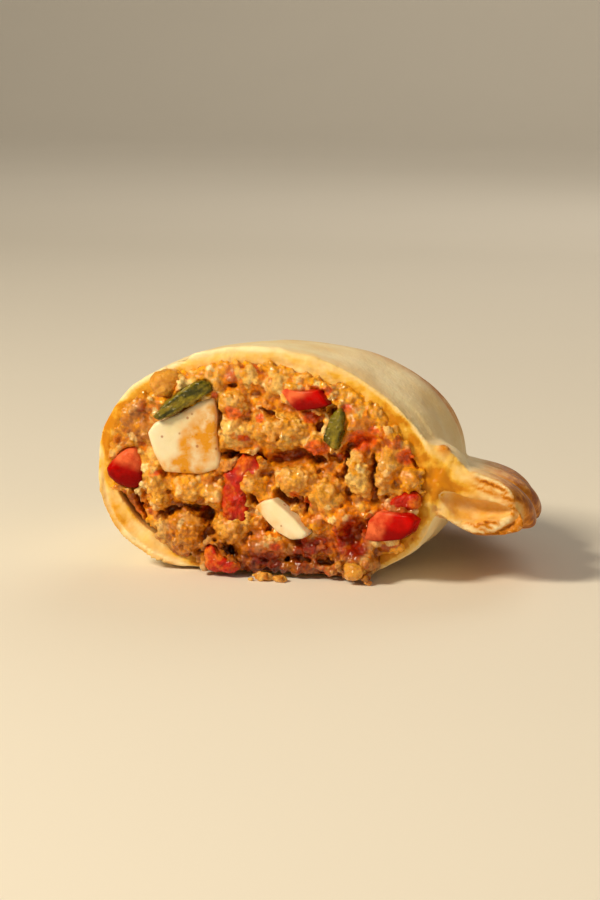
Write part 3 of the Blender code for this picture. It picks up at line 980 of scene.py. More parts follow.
    def crimp(self, count: int, around: int) -> Surface:
        """The crimp's rope: ellipses carried along its path and swelled by its lobes.

        Args:
            count: rings along it.
            around: points round a ring.

        Returns:
            The closed surface, which starts in front of the cut.
        """
        points, run, ahead, out, up = self.crimp_path(count)
        size = self.crimp_size(run / run[-1])[:, None]
        turn = np.linspace(0, 2 * math.pi, around, endpoint=False)[None, :]
        full = self.lobe(run[:, None], turn)
        reach = np.cos(turn) * np.where(np.cos(turn) > 0, self.crimp_out * full, self.crimp_in) * size
        rise = self.crimp_half_thick * np.sin(turn) * full * size
        under = self.under_share - self.under_less_out * np.maximum(np.cos(turn), 0)
        rise = rise * np.where(np.sin(turn) < 0, under, 1.0)
        rings = points[:, None] + out[:, None] * reach[..., None] + up[:, None] * rise[..., None]
        rings[..., 2] = np.maximum(rings[..., 2], 0.8 * MM)
        front = rings[:1].copy()
        front[..., 1] = self.cut_y - self.overshoot
        rings = np.concatenate([front, rings])
        return lofted(rings, rings[0].mean(axis=0), points[-1] + ahead[-1] * MM)

    def web(self) -> Surface:
        """The dough in the corner between the pillow and the crimp: a tilted ellipsoid."""
        unit = ball(40, 80)
        x, y, z = (unit.points * np.array(self.web_radii)).T
        cos, sin = math.cos(self.web_tilt), math.sin(self.web_tilt)
        return unit.moved(np.stack([x * cos - z * sin, y, x * sin + z * cos], -1) + self.web_centre)

    def slot(self) -> Surface:
        """The gap between the crimp's two layers: its outline at the cut, which closes like a bowl."""
        edge, middle = rounded_ring(self.slot_outline, 0.3, 160)
        behind = np.concatenate([[-0.5], np.linspace(0, 0.97, 40)])
        width = np.sqrt(1 - np.maximum(behind, 0) ** 2)[:, None]
        y = self.cut_y + behind[:, None] * self.slot_depth + 0 * edge[None, :, 0]
        rings = np.stack([width * edge[:, 0], y, width * edge[:, 1]], -1)
        rough = 0.16 * soft_noise(rings.reshape(-1, 3), 1.5 * MM, 71, 2).reshape(y.shape)
        rings[..., 0] *= 1 + 0.3 * rough
        rings[..., 2] *= 1 + rough
        rings += np.array((middle[0], 0, middle[1]))
        pole = np.array((middle[0], self.cut_y, middle[1]))
        inwards = np.array((0.0, self.slot_depth, 0.0))
        return lofted(rings, pole - 0.5 * inwards, pole + inwards)

    def slot_share(self, points: Array) -> Array:
        """How far points are from the slot's middle in the plane of the cut, 1 being its edge."""
        x, z = ((points[:, [0, 2]] - self.slot_middle) / self.slot_radii).T
        return np.hypot(x, z)

    def lip_share(self, points: Array) -> Array:
        """How far points are from the middle of the crimp's lower lip, 1 being the crack under it."""
        x, z = ((points[:, [0, 2]] - self.lip_middle) / self.lip_radii).T
        return np.hypot(x, z) - 0.05 * soft_noise(points, 1.6 * MM, 19, 2)

    def knife(self) -> Surface:
        """Everything in front of the cut, whose face waves as the knife left it."""
        far, rows, columns = self.knife_reach, 150, 300
        x = np.linspace(-far, far, columns)
        z = np.linspace(-far, far, rows)[:, None] + 0 * x
        face = np.stack([x + 0 * z, np.full(z.shape, self.cut_y), z], -1).reshape(-1, 3)
        flat = np.stack([face[:, 0], np.zeros(len(face)), face[:, 2]], -1)
        face[:, 1] += self.cut_wave * (0.5 + 0.8 * soft_noise(flat, 6.0 * MM, 5, 2))
        back = face.copy()
        back[:, 1] = self.cut_y - far
        count = rows * columns
        index = np.arange(count).reshape(rows, columns)
        quads = grid_faces(index)
        rim = np.concatenate([index[0, :-1], index[:-1, -1], index[-1, :0:-1], index[:0:-1, 0]])
        after = np.roll(rim, -1)
        walls = np.stack([rim, rim + count, after + count, after], -1)
        quads = np.concatenate([quads, quads[:, ::-1] + count, walls])
        return Surface(np.concatenate([face, back]), quads, np.zeros((0, 3), int)).turned_out()

    def depth(self, points: Array) -> tuple[Array, Array]:
        """How deep points lie under the outer skin of their section, and how thick the wall is there.

        Args:
            points: places, three columns.

        Returns:
            Depths and thicknesses in metres.
        """
        t = np.clip((points[:, 1] - self.cut_y) / self.length, 0, 0.97)
        left, right, crown, top, middle = self.sizes(t)
        dx, dz = points[:, 0] - crown, points[:, 2] - middle
        reach = np.where(dx < 0, crown - left, right - crown)
        rise = np.where(dz >= 0, top - middle, middle + self.flat_sink)
        power = self.powers(t, dx, dz)
        share = (np.abs(dx / reach) ** power + np.abs(dz / rise) ** power) ** (1 / power)
        turn = np.arctan2(signed_power(dz / rise, power / 2), signed_power(dx / reach, power / 2))
        wall = self.wall_at(turn, points[:, 1] - self.cut_y)
        return np.hypot(dx, dz) * (1 / np.maximum(share, 0.05) - 1), wall

    def crimp_frame(self, points: Array) -> tuple[Array, Array, Array]:
        """Where points lie on the crimp.

        Args:
            points: places, three columns.

        Returns:
            Distance along the crimp, and the places out and up from its middle line.
        """
        path, run, ahead, out, up = self.crimp_path(240)
        gaps = (path**2).sum(1)[None, :] - 2 * points @ path.T
        near = gaps.argmin(axis=1)
        away = points - path[near]
        along = run[near] + (away * ahead[near]).sum(1)
        return along, (away * out[near]).sum(1), (away * up[near]).sum(1)

    def build(self) -> bpy.types.Object:
        """Fuses the pillow and the crimp, hollows and cuts them, and adds relief and zones.

        Returns:
            The crust's object, with its material.
        """
        coarse, fine = ((0.5 * MM, 0.38 * MM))
        start_y = self.cut_y - self.overshoot
        outer = self.pillow(None, self.length, start_y, self.around, self.stations)
        crust = joined([outer, self.crimp(260, 90), self.web()]).to_object("crust")
        remesh(crust, coarse)
        relax(crust, 4)
        cut_away(crust, self.pillow(0.0, self.hollow_length, start_y - self.overshoot, 240, 90))
        cut_away(crust, self.slot())
        cut_away(crust, self.knife())
        remesh(crust, fine)
        relax(crust, 1)
        points = get_vectors(crust.data)
        inner = self.depth(points)[0] > self.hidden_depth
        thin_out(crust, inner & (points[:, 1] > self.cut_y + self.hidden_behind))
        self.relief(crust.data)
        self.zones(crust.data)
        dress(crust, DoughFinish().material())
        return crust

    def places(self, mesh: bpy.types.Mesh) -> Places:
        """Measures where the points of the crust's mesh lie."""
        points, normals = get_vectors(mesh), get_vectors(mesh, normals=True)
        deep, _ = self.depth(points)
        return Places(points, normals, *self.crimp_frame(points), deep, points[:, 1] - self.cut_y)

    def skin_relief(self, at: Places, outside: Array, rim: Array) -> list[Array]:
        """How far the outer skin stands out: swells, pleats, grain, a dent, and two at the rim.

        Args:
            at: where the points lie.
            outside: the share of each point that belongs to the outer skin.
            rim: the share that belongs to the cut face.

        Returns:
            Distances along the normals, to be added up.
        """
        body = outside * (1 - rim)
        near_crimp = ramp(-24.0, -9.0, at.out) * ramp(-3.0, -8.0, at.out)
        pleat = np.sin(2 * math.pi * at.run / self.lobe_pitch + 1.6 * at.noise(11.0, 12))
        dent_x, dent_behind, dent_z = self.dent_middle
        across = np.hypot((at.x - dent_x) / 0.9, at.z - dent_z)
        dent = ramp(self.dent_radius_mm, 0.0, np.hypot(across, 0.6 * (at.behind - dent_behind)))
        near_cut = outside * ramp(3.5, 0.8, at.behind)
        ragged = soft_noise(at.points * (1, 0.35, 1), 2.6 * MM, 18, 3)
        return [
            body * ramp(0.0, 5.0, at.behind) * self.swell_mm * MM * at.noise(13.0, 11, 2),
            body * near_crimp * self.pleat_mm * MM * pleat,
            body * self.grain_mm * MM * at.noise(2.6, 13, 2),
            -body * self.dent_mm * MM * dent,
            near_cut * self.ragged_mm * MM * ragged,
            -near_cut * self.step_mm * MM * Region.STEP.share(at.points),
        ]

    def rim_relief(self, at: Places, rim: Array) -> list[Array]:
        """How far the cut face stands out: leaves of dough, a fold, the lip and the crack under it.

        Args:
            at: where the points lie.
            rim: the share of each point that belongs to the cut face.

        Returns:
            Distances along the normals, to be added up.
        """
        past_root = ramp(-9.0, -5.0, at.out)
        level = at.deep + (at.up - at.deep) * past_root
        layers = plane_noise(level, at.x * 0.1 + at.z * 0.08, 0.75, 15)
        fold = ramp(1.2, 0.2, np.hypot(at.x - 28.0 * MM, at.z - 20.6 * MM)) * ramp(1.6, 0.3, at.behind)
        lip = rim * ramp(-8.0, -3.0, at.out) * ramp(-1.6, -2.4, at.up)
        low_left = rim * Region.RAGGED_LEFT.share(at.points)
        crack = smooth_step(0.07, 0.02, np.abs(self.lip_share(at.points) - 1))
        return [
            rim * (0.26 * MM * layers + 0.16 * MM * at.noise(1.2, 16, 3)),
            (1 - rim) * self.fold_mm * MM * fold,
            lip * self.lip_leaf_mm * MM * plane_noise(at.out * 0.3, at.up, 0.5, 17, 2),
            rim * past_root * self.crimp_leaf_mm * MM * at.streaks(),
            low_left * (0.5 * MM * at.plies() + 0.3 * MM * at.noise(2.2, 28, 2)),
            -rim * (at.out > self.crimp_root) * (at.z < 12.0 * MM) * self.crack_mm * MM * crack,
        ]

    def relief(self, mesh: bpy.types.Mesh) -> None:
        """Moves the points along their normals by all the relief, and keeps them above the floor."""
        at = self.places(mesh)
        outside = ramp(0.9, 0.4, at.deep)
        rim = smooth_step(0.5, 0.85, -at.normals[:, 1]) * ramp(1.3, 0.8, at.behind)
        push = sum(self.skin_relief(at, outside, rim) + self.rim_relief(at, rim))
        points = at.points + at.normals * push[:, None]
        points[:, 2] = np.maximum(points[:, 2], 0.0)
        set_points(mesh, points)

    def wall_soak(self, at: Places, uneven: Array) -> Array:
        """How soaked with fat the pillow's wall is: most at its inner side, with patches, and at the
        foot of the cut face partly painted shade.

        Args:
            at: where the points lie.
            uneven: noise that makes the edge of the soaked part ragged.

        Returns:
            Shares, which can pass 1 where the dough is darkest.
        """
        bottom, right = Region.BOTTOM.share(at.points), Region.RIGHT.share(at.points)
        lower_left, amber = Region.LOWER_LEFT.share(at.points), Region.AMBER.share(at.points)
        high_left, roof = Region.HIGH_LEFT.share(at.points), Region.ROOF.share(at.points)
        edge_depth = (0.3 - 0.25 * right - 0.1 * bottom + 0.3 * lower_left - 1.0 * amber) * MM
        soak = smooth_step(edge_depth, edge_depth + (0.9 + 0.6 * lower_left) * MM, at.deep + uneven)
        strength = 0.8 + 0.2 * right + 0.1 * high_left - 0.3 * roof
        soak *= (1 - at.on_crimp) * (1 - 0.4 * lower_left) * strength
        soak *= 1 - ramp(1.2, 2.5, at.behind) * ramp(1.2, 0.7, at.deep)
        soak += 0.75 * amber * ramp(2.0, 0.9, at.deep) * at.facing
        mottle = 0.5 + 0.8 * smooth_step(-0.4, 0.4, at.noise(2.6, 30, 3))
        left_edge = Region.LEFT_EDGE.share(at.points)
        soak = np.maximum(soak, 0.6 * mottle * left_edge * ramp(3.0, 0.0, at.behind))
        shoulder = Region.SHOULDER.share(at.points)
        soak = np.maximum(soak, 0.3 * shoulder * ramp(4.5, 1.0, at.behind))
        soak += 0.5 * at.plies() * lower_left * at.facing
        # At the foot of the cut face the soak is raised: sauce soaking, partly painted shade.
        return soak + 0.6 * bottom * ramp(0.4, 1.0, at.deep) * at.facing

    def crimp_soak(self, at: Places, uneven: Array) -> Array:
        """How soaked the crimp's cut face is: at its root, along the gap, and in streaks.

        Args:
            at: where the points lie.
            uneven: noise that makes the edge of the soaked part ragged.

        Returns:
            Shares, for the points that face forward.
        """
        inner = ramp(4.0, -6.0, at.out + 3 * uneven) * ramp(-13.0, -10.0, at.out)
        above = at.z - (14.4 * MM - 0.18 * (at.x - 28.0 * MM))
        hot = ramp(2.6, 0.2, above) * ramp(-1.5, -0.3, above) * ramp(34.0, 27.0, at.x)
        root = ramp(5.0, 1.5, np.hypot(at.x - 25.4 * MM, 1.1 * (at.z - 15.6 * MM)) + 2 * uneven)
        face = inner * 0.55 + at.on_crimp * at.upper * (0.14 + 0.25 * at.streaks())
        return face + 1.1 * hot * ramp(-13.0, -9.0, at.out) + 0.8 * root

    def skin_brown(self, at: Places, reach: Array) -> Array:
        """How browned the baked skin is: on the lobes and under them, on the dome and below.

        Args:
            at: where the points lie.
            reach: distances from the crimp's middle line, 1 being its outer edge.

        Returns:
            Shares, with none on the cut face.
        """
        height = at.up / self.crimp_half_thick
        full = self.lobe(at.run, np.arctan2(height, at.out / self.crimp_out))
        crest = smooth_step(1 - self.lobe_depth * 0.7, 1.06, full)
        brown = ramp(-6.0, 1.5, at.out) * smooth_step(0.35, 0.8, reach) * (0.5 + 0.5 * crest)
        brown = np.maximum(brown, 0.42 * ramp(-5.5, -3.0, at.out))
        brown *= 1 - 0.35 * ramp(16.0, 6.0, at.behind) * ramp(39.5, 36.0, at.x)
        under_lobe = smooth_step(0.5, 1.0, reach) * smooth_step(0.0, -0.7, height)
        brown = np.maximum(brown, 0.9 * under_lobe * at.on_crimp)
        patch = smooth_step(-0.15, 0.4, at.noise(14.0, 22, 3))
        dome = ramp(11.0, 20.0, at.behind) * ramp(14.0, 27.0, at.z)
        brown = np.maximum(brown, (0.12 + 0.55 * patch) * dome)
        under = ramp(2.5, 0.0, at.z) * (0.4 + 0.4 * patch)
        return np.maximum(brown, under * (at.deep < 0.6 * MM)) * (1 - at.facing)

    def crimp_face(self, at: Places, reach: Array, soak: Array, brown: Array) -> tuple[Array, Array]:
        """Colours the crimp's cut face: the gap, the white lower lip, its crack and the baked edge,
        with painted shade on the face and in the crack.

        Args:
            at: where the points lie.
            reach: distances from the crimp's middle line, 1 being its outer edge.
            soak: how soaked each point is so far.
            brown: how browned each point is so far.

        Returns:
            The new soaked and browned shares.
        """
        facing, on_crimp, upper, streak = at.facing, at.on_crimp, at.upper, at.streaks()
        ring, slot = self.lip_share(at.points), self.slot_share(at.points)
        # Painted shade together with baked browning: the crimp's cut face and its lower layer are made
        # browner, in streaks, to darken them.
        brown = np.maximum(brown, facing * on_crimp * (0.52 + 0.95 * np.maximum(streak, -0.45)))
        front = np.maximum(facing, 0.9 * ramp(2.4, 1.6, at.behind))
        below = front * on_crimp * (1 - upper) * smooth_step(0.0, 0.4, -at.up / MM)
        brown = np.maximum(brown, below * (0.3 + 0.3 * smooth_step(0.98, 1.05, ring)))
        brown = np.maximum(brown, 0.75 * facing * ramp(38.0, 38.8, at.x))
        low_lip = front * (at.out > self.crimp_root) * ramp(12.3, 11.6, at.z)
        band = smooth_step(0.6, 0.68, ring) * smooth_step(0.95, 0.88, ring)
        white = low_lip * band * smooth_step(0.98, 1.05, slot)
        white *= 0.35 + 0.65 * smooth_step(-0.4, 0.1, at.noise(0.9, 29, 2))
        soak, brown = soak * (1 - white), brown * (1 - 0.9 * white)
        # Painted shade in the crack under the lower lip.
        brown = np.maximum(brown, 1.05 * low_lip * smooth_step(0.08, 0.03, np.abs(ring - 1)))
        in_slot = smooth_step(1.25, 1.05, slot) * ramp(0.0, 0.5, at.behind)
        in_slot *= at.out > self.crimp_root
        in_slot *= smooth_step(self.slot_depth + 0.5 * MM, self.slot_depth, at.behind)
        brown = brown * (1 - in_slot) + 0.2 * in_slot
        soak = soak * (1 - in_slot) + 0.5 * in_slot
        skin = facing * on_crimp * smooth_step(0.84, 0.93, reach) * upper * ramp(38.6, 38.0, at.x)
        soak, brown = soak * (1 - skin), brown * (1 - skin)
        leaf = 0.9 * smooth_step(0.15, 0.5, streak)
        return soak, np.maximum(brown, facing * on_crimp * (1 - upper) * leaf)

    def rim_brown(self, at: Places, brown: Array) -> Array:
        """Adds the brown of the rim: the fold over the crimp, the leaves with painted shade, painted
        crack lines, and sauce with painted shade at the foot.

        Args:
            at: where the points lie.
            brown: how browned each point is so far.

        Returns:
            The new browned shares.
        """
        facing, lower_left = at.facing, Region.LOWER_LEFT.share(at.points)
        fold = np.hypot(at.x - 28.2 * MM, at.z - 21.0 * MM) + 0.5 * np.abs(at.behind)
        brown = np.maximum(brown, 0.55 * ramp(2.2, 0.8, fold))
        # Over the lower left, brown leaves of dough that are partly painted shade.
        leaves = 0.2 + 0.3 * at.plies() + 0.2 * at.noise(2.4, 26, 2)
        brown = np.maximum(brown, facing * lower_left * leaves)
        # Thin brown crack lines between the layers, which the mesh doesn't cut: painted shade of a
        # crack.
        crack_shade_lines = np.abs(at.deep - 1.3 * MM - 0.3 * MM * at.noise(3.0, 24)) < 0.16 * MM
        crack_shade_lines = crack_shade_lines * facing * Region.LOWER_RIGHT.share(at.points) * (at.noise(1.4, 25) > -0.1)
        # At the foot of the cut face, sauce soaking and painted shade together.
        sauce_and_shade_low = ramp(11.0, 8.0, np.abs(at.x - 3.0 * MM)) * ramp(3.0, 1.8, at.z) * facing
        return np.maximum(np.maximum(brown, 0.85 * crack_shade_lines), 2.0 * sauce_and_shade_low)

    def zones(self, mesh: bpy.types.Mesh) -> None:
        """Stores how soaked, how browned and how freshly cut each point is, with painted shade in the
        soaked and browned shares.
        """
        at = self.places(mesh)
        uneven = 0.6 * MM * at.noise(3.5, 21, 2)
        soak = np.maximum(self.wall_soak(at, uneven), at.facing * self.crimp_soak(at, uneven))
        soak = np.maximum(soak, 0.42 * at.on_crimp * (1 - at.facing))
        edge = at.facing * np.clip(1 - soak, 0, 1)
        reach = np.hypot(at.out / self.crimp_out, at.up / self.crimp_half_thick)
        soak, brown = self.crimp_face(at, reach, soak, self.skin_brown(at, reach))
        brown = self.rim_brown(at, brown)
        columns = np.stack([np.clip(soak, 0, 1.3), np.clip(brown, 0, 2), edge], -1)
        set_colour(mesh, "zones", columns)


# The filling


class Tint(Enum):
    """Colours of the lumps in the filling, as sRGB hex."""

    TAN = "#DA9A30"
    PALE = "#E8B658"
    ORANGE = "#DE8208"
    BROWN = "#B87424"
    RUST = "#BE5604"
    RED = "#DE5008"
    AMBER = "#ECA012"
    CREAM = "#F2D28C"


TINT_ORDER = list(Tint)


def tint_numbers(*tints: Tint) -> list[int]:
    """Where tints stand in their list."""
    return [TINT_ORDER.index(tint) for tint in tints]


@dataclass(frozen=True)
class Clump:
    """A clump of beef that shows in the cut. Places and sizes are in millimetres."""

    x: float
    z: float
    half_x: float
    half_z: float
    out: float
    lump: float
    tint: Tint
    tilt: float = 0.0


CLUMPS = (
    Clump(-2.0, 30.6, 2.4, 1.5, 1.3, 0.95, Tint.PALE),
    Clump(2.6, 29.6, 3.0, 2.0, 1.7, 0.85, Tint.PALE, -8.0),
    Clump(7.4, 30.2, 3.6, 1.5, 1.0, 0.7, Tint.AMBER, -8.0),
    Clump(13.0, 28.4, 4.2, 1.8, 0.9, 0.7, Tint.AMBER, -24.0),
    Clump(-4.3, 26.4, 2.7, 2.4, 2.2, 0.7, Tint.TAN),
    Clump(0.6, 26.2, 2.6, 1.7, 1.2, 0.7, Tint.ORANGE),
    Clump(-4.4, 21.9, 2.7, 2.5, 2.4, 0.85, Tint.PALE),
    Clump(3.2, 22.6, 5.6, 3.3, 3.1, 0.55, Tint.TAN, -4.0),
    Clump(8.4, 20.8, 2.6, 2.2, 2.6, 0.6, Tint.TAN),
    Clump(-20.6, 24.4, 2.0, 3.6, 0.7, 0.75, Tint.BROWN, -36.0),
    Clump(-18.6, 21.6, 2.4, 2.4, 1.2, 0.8, Tint.BROWN),
    Clump(-16.6, 26.4, 2.2, 1.6, 0.8, 0.8, Tint.TAN, 40.0),
    Clump(-16.4, 17.6, 1.6, 2.6, 1.0, 0.8, Tint.PALE),
    Clump(-16.4, 13.0, 2.3, 4.2, 2.3, 0.95, Tint.TAN, 8.0),
    Clump(-11.6, 13.2, 3.2, 2.9, 2.4, 0.75, Tint.AMBER),
    Clump(-7.6, 12.2, 2.3, 2.6, 1.7, 0.8, Tint.TAN),
    Clump(-11.6, 6.2, 3.4, 3.9, 3.4, 0.8, Tint.AMBER, 14.0),
    Clump(-15.0, 6.4, 1.6, 2.6, 2.2, 0.8, Tint.PALE, 20.0),
    Clump(-4.6, 6.8, 3.2, 3.0, 2.9, 0.75, Tint.TAN),
    Clump(-1.4, 14.4, 2.3, 2.9, 2.2, 0.8, Tint.AMBER, 12.0),
    Clump(-0.8, 8.4, 2.2, 1.6, 1.4, 0.7, Tint.ORANGE),
    Clump(1.0, 4.6, 5.4, 2.2, 2.6, 0.75, Tint.ORANGE, 5.0),
    Clump(5.6, 15.2, 3.7, 2.8, 3.2, 0.6, Tint.TAN),
    Clump(10.0, 12.8, 3.4, 3.2, 3.4, 0.7, Tint.TAN, 30.0),
    Clump(12.6, 9.6, 2.8, 2.8, 3.0, 0.7, Tint.ORANGE),
    Clump(8.2, 8.8, 2.4, 1.6, 2.2, 0.7, Tint.ORANGE),
    Clump(15.4, 16.4, 2.3, 4.0, 3.0, 0.85, Tint.PALE, 12.0),
    Clump(19.6, 17.2, 2.1, 4.6, 2.5, 0.85, Tint.TAN, -10.0),
    Clump(23.0, 16.0, 1.9, 2.3, 2.0, 0.75, Tint.AMBER, -20.0),
    Clump(20.0, 22.4, 1.7, 2.8, 1.5, 0.7, Tint.RUST, 36.0),
    Clump(14.6, 24.6, 3.3, 3.1, 1.9, 0.65, Tint.ORANGE, 20.0),
    Clump(18.2, 25.2, 1.9, 2.8, 0.9, 0.65, Tint.AMBER, 46.0),
    Clump(-8.6, 30.6, 4.6, 1.2, 0.8, 0.8, Tint.AMBER, 12.0),
    Clump(8.2, 4.8, 3.6, 1.8, 1.8, 0.7, Tint.RUST),
    Clump(15.2, 3.2, 3.4, 2.6, 3.5, 0.8, Tint.BROWN),
    Clump(16.4, 5.2, 2.4, 2.2, 2.2, 0.8, Tint.AMBER),
    Clump(20.0, 5.6, 2.6, 1.6, 1.0, 0.6, Tint.RUST),
    Clump(23.6, 12.0, 1.4, 2.4, 0.8, 0.6, Tint.RUST),
)

# Crevices between clumps: x, z, half width, half height and depth in millimetres, then tilt in degrees.
CREVICES = (
    (-3.6, 18.3, 3.4, 0.9, 2.2, -4), (4.4, 18.6, 4.6, 1.0, 2.2, 12),
    (8.6, 18.2, 2.2, 0.8, 1.8, -20),
    (1.8, 25.0, 2.4, 0.5, 1.6, -6), (-8.6, 8.8, 1.3, 1.5, 3.0, 0), (-1.0, 11.6, 1.6, 0.9, 2.4, -44),
    (14.2, 7.2, 2.2, 2.6, 1.3, 0), (3.6, 12.3, 2.4, 0.75, 2.8, -36),
    (17.2, 9.4, 1.2, 2.0, 2.2, 0), (13.0, 18.6, 0.6, 2.6, 1.8, 0),
    (17.6, 16.6, 0.45, 3.6, 1.8, 4), (-19.6, 10.6, 0.7, 4.6, 2.4, 16),
    (-6.6, 3.0, 1.2, 2.2, 1.6, 0),
    (4.6, 6.4, 3.0, 0.6, 1.6, -30), (-14.2, 9.2, 2.4, 0.5, 1.6, 22),
    (11.4, 25.8, 0.8, 1.6, 1.6, -10),
    (-9.6, 9.6, 3.2, 0.5, 1.6, -12), (7.4, 11.4, 0.6, 1.8, 1.6, -20),
    (-6.4, 24.2, 0.5, 2.8, 1.6, 0),
)

# Painted shade: spots where the meat is made darker, x, z and radius in millimetres, and how much
# darker.
PAINTED_SHADE_SPOTS = (
    (-11.4, 6.0, 5.0, 0.56), (-20.4, 23.0, 5.0, 0.35), (-6.0, 2.0, 4.0, 0.45),
    (21.5, 17.5, 3.0, 0.15),
    (15.6, 2.4, 4.4, 0.62),
)

# Red sauce between the clumps: x, z, half width, half height in millimetres, and how strong it is.
SAUCE = (
    (14.4, 6.8, 2.9, 3.4, 0.95), (9.4, 5.3, 4.2, 1.2, 0.8), (21.0, 11.6, 3.0, 1.6, 0.6),
    (-3.0, 16.4, 4.0, 1.6, 0.5), (-1.0, 3.2, 4.0, 1.2, 0.5), (4.0, 18.2, 4.0, 0.9, 0.5),
    (6.8, 26.2, 3.6, 1.2, 0.6),
)

# Flecks of pepper and carrot: x, z and radius in millimetres.
FLECKS = (
    (-4.0, 25.2, 1.5), (9.0, 20.2, 1.8), (15.8, 21.6, 2.2), (8.0, 24.8, 1.2), (5.4, 13.0, 0.8),
    (10.2, 28.8, 0.9),
    (7.8, 12.0, 0.9), (13.6, 26.4, 0.9), (-9.4, 9.8, 0.6), (6.6, 6.0, 0.9), (-2.6, 21.2, 0.9),
    (12.4, 19.0, 0.9),
    (-7.0, 27.6, 0.7), (17.6, 23.2, 0.9), (22.4, 19.4, 1.5), (-16.2, 15.2, 0.5), (2.6, 5.0, 0.8),
    (0.2, 24.4, 0.8),
)


def balls(
    centres: Array, radii: Array, axes: Array, shape: tuple, rough: float, span: float, seed: int
) -> Surface:
    """Many rough ellipsoids as one surface: centre + axes . (unit * radii) * (1 + rough * noise).

    Args:
        centres: places, three columns.
        radii: three radii for each.
        axes: a three by three turn for each.
        shape: rings and turns of each ball.
        rough: how much the radius varies.
        span: the width of that roughness in metres.
        seed: picks the pattern.

    Returns:
        One surface that holds them all.
    """
    unit = ball(*shape)
    count, size = len(centres), len(unit.points)
    shaped = np.einsum("nij,nkj->nki", axes, unit.points[None] * radii[:, None, :])
    places = (centres[:, None] + shaped).reshape(-1, 3)
    shaped *= 1 + rough * soft_noise(places, span, seed, 2).reshape(count, size, 1)
    starts = (np.arange(count) * size)[:, None, None]
    return Surface(
        (centres[:, None] + shaped).reshape(-1, 3),
        (unit.quads[None] + starts).reshape(-1, 4),
        (unit.fans[None] + starts).reshape(-1, 3),
    )


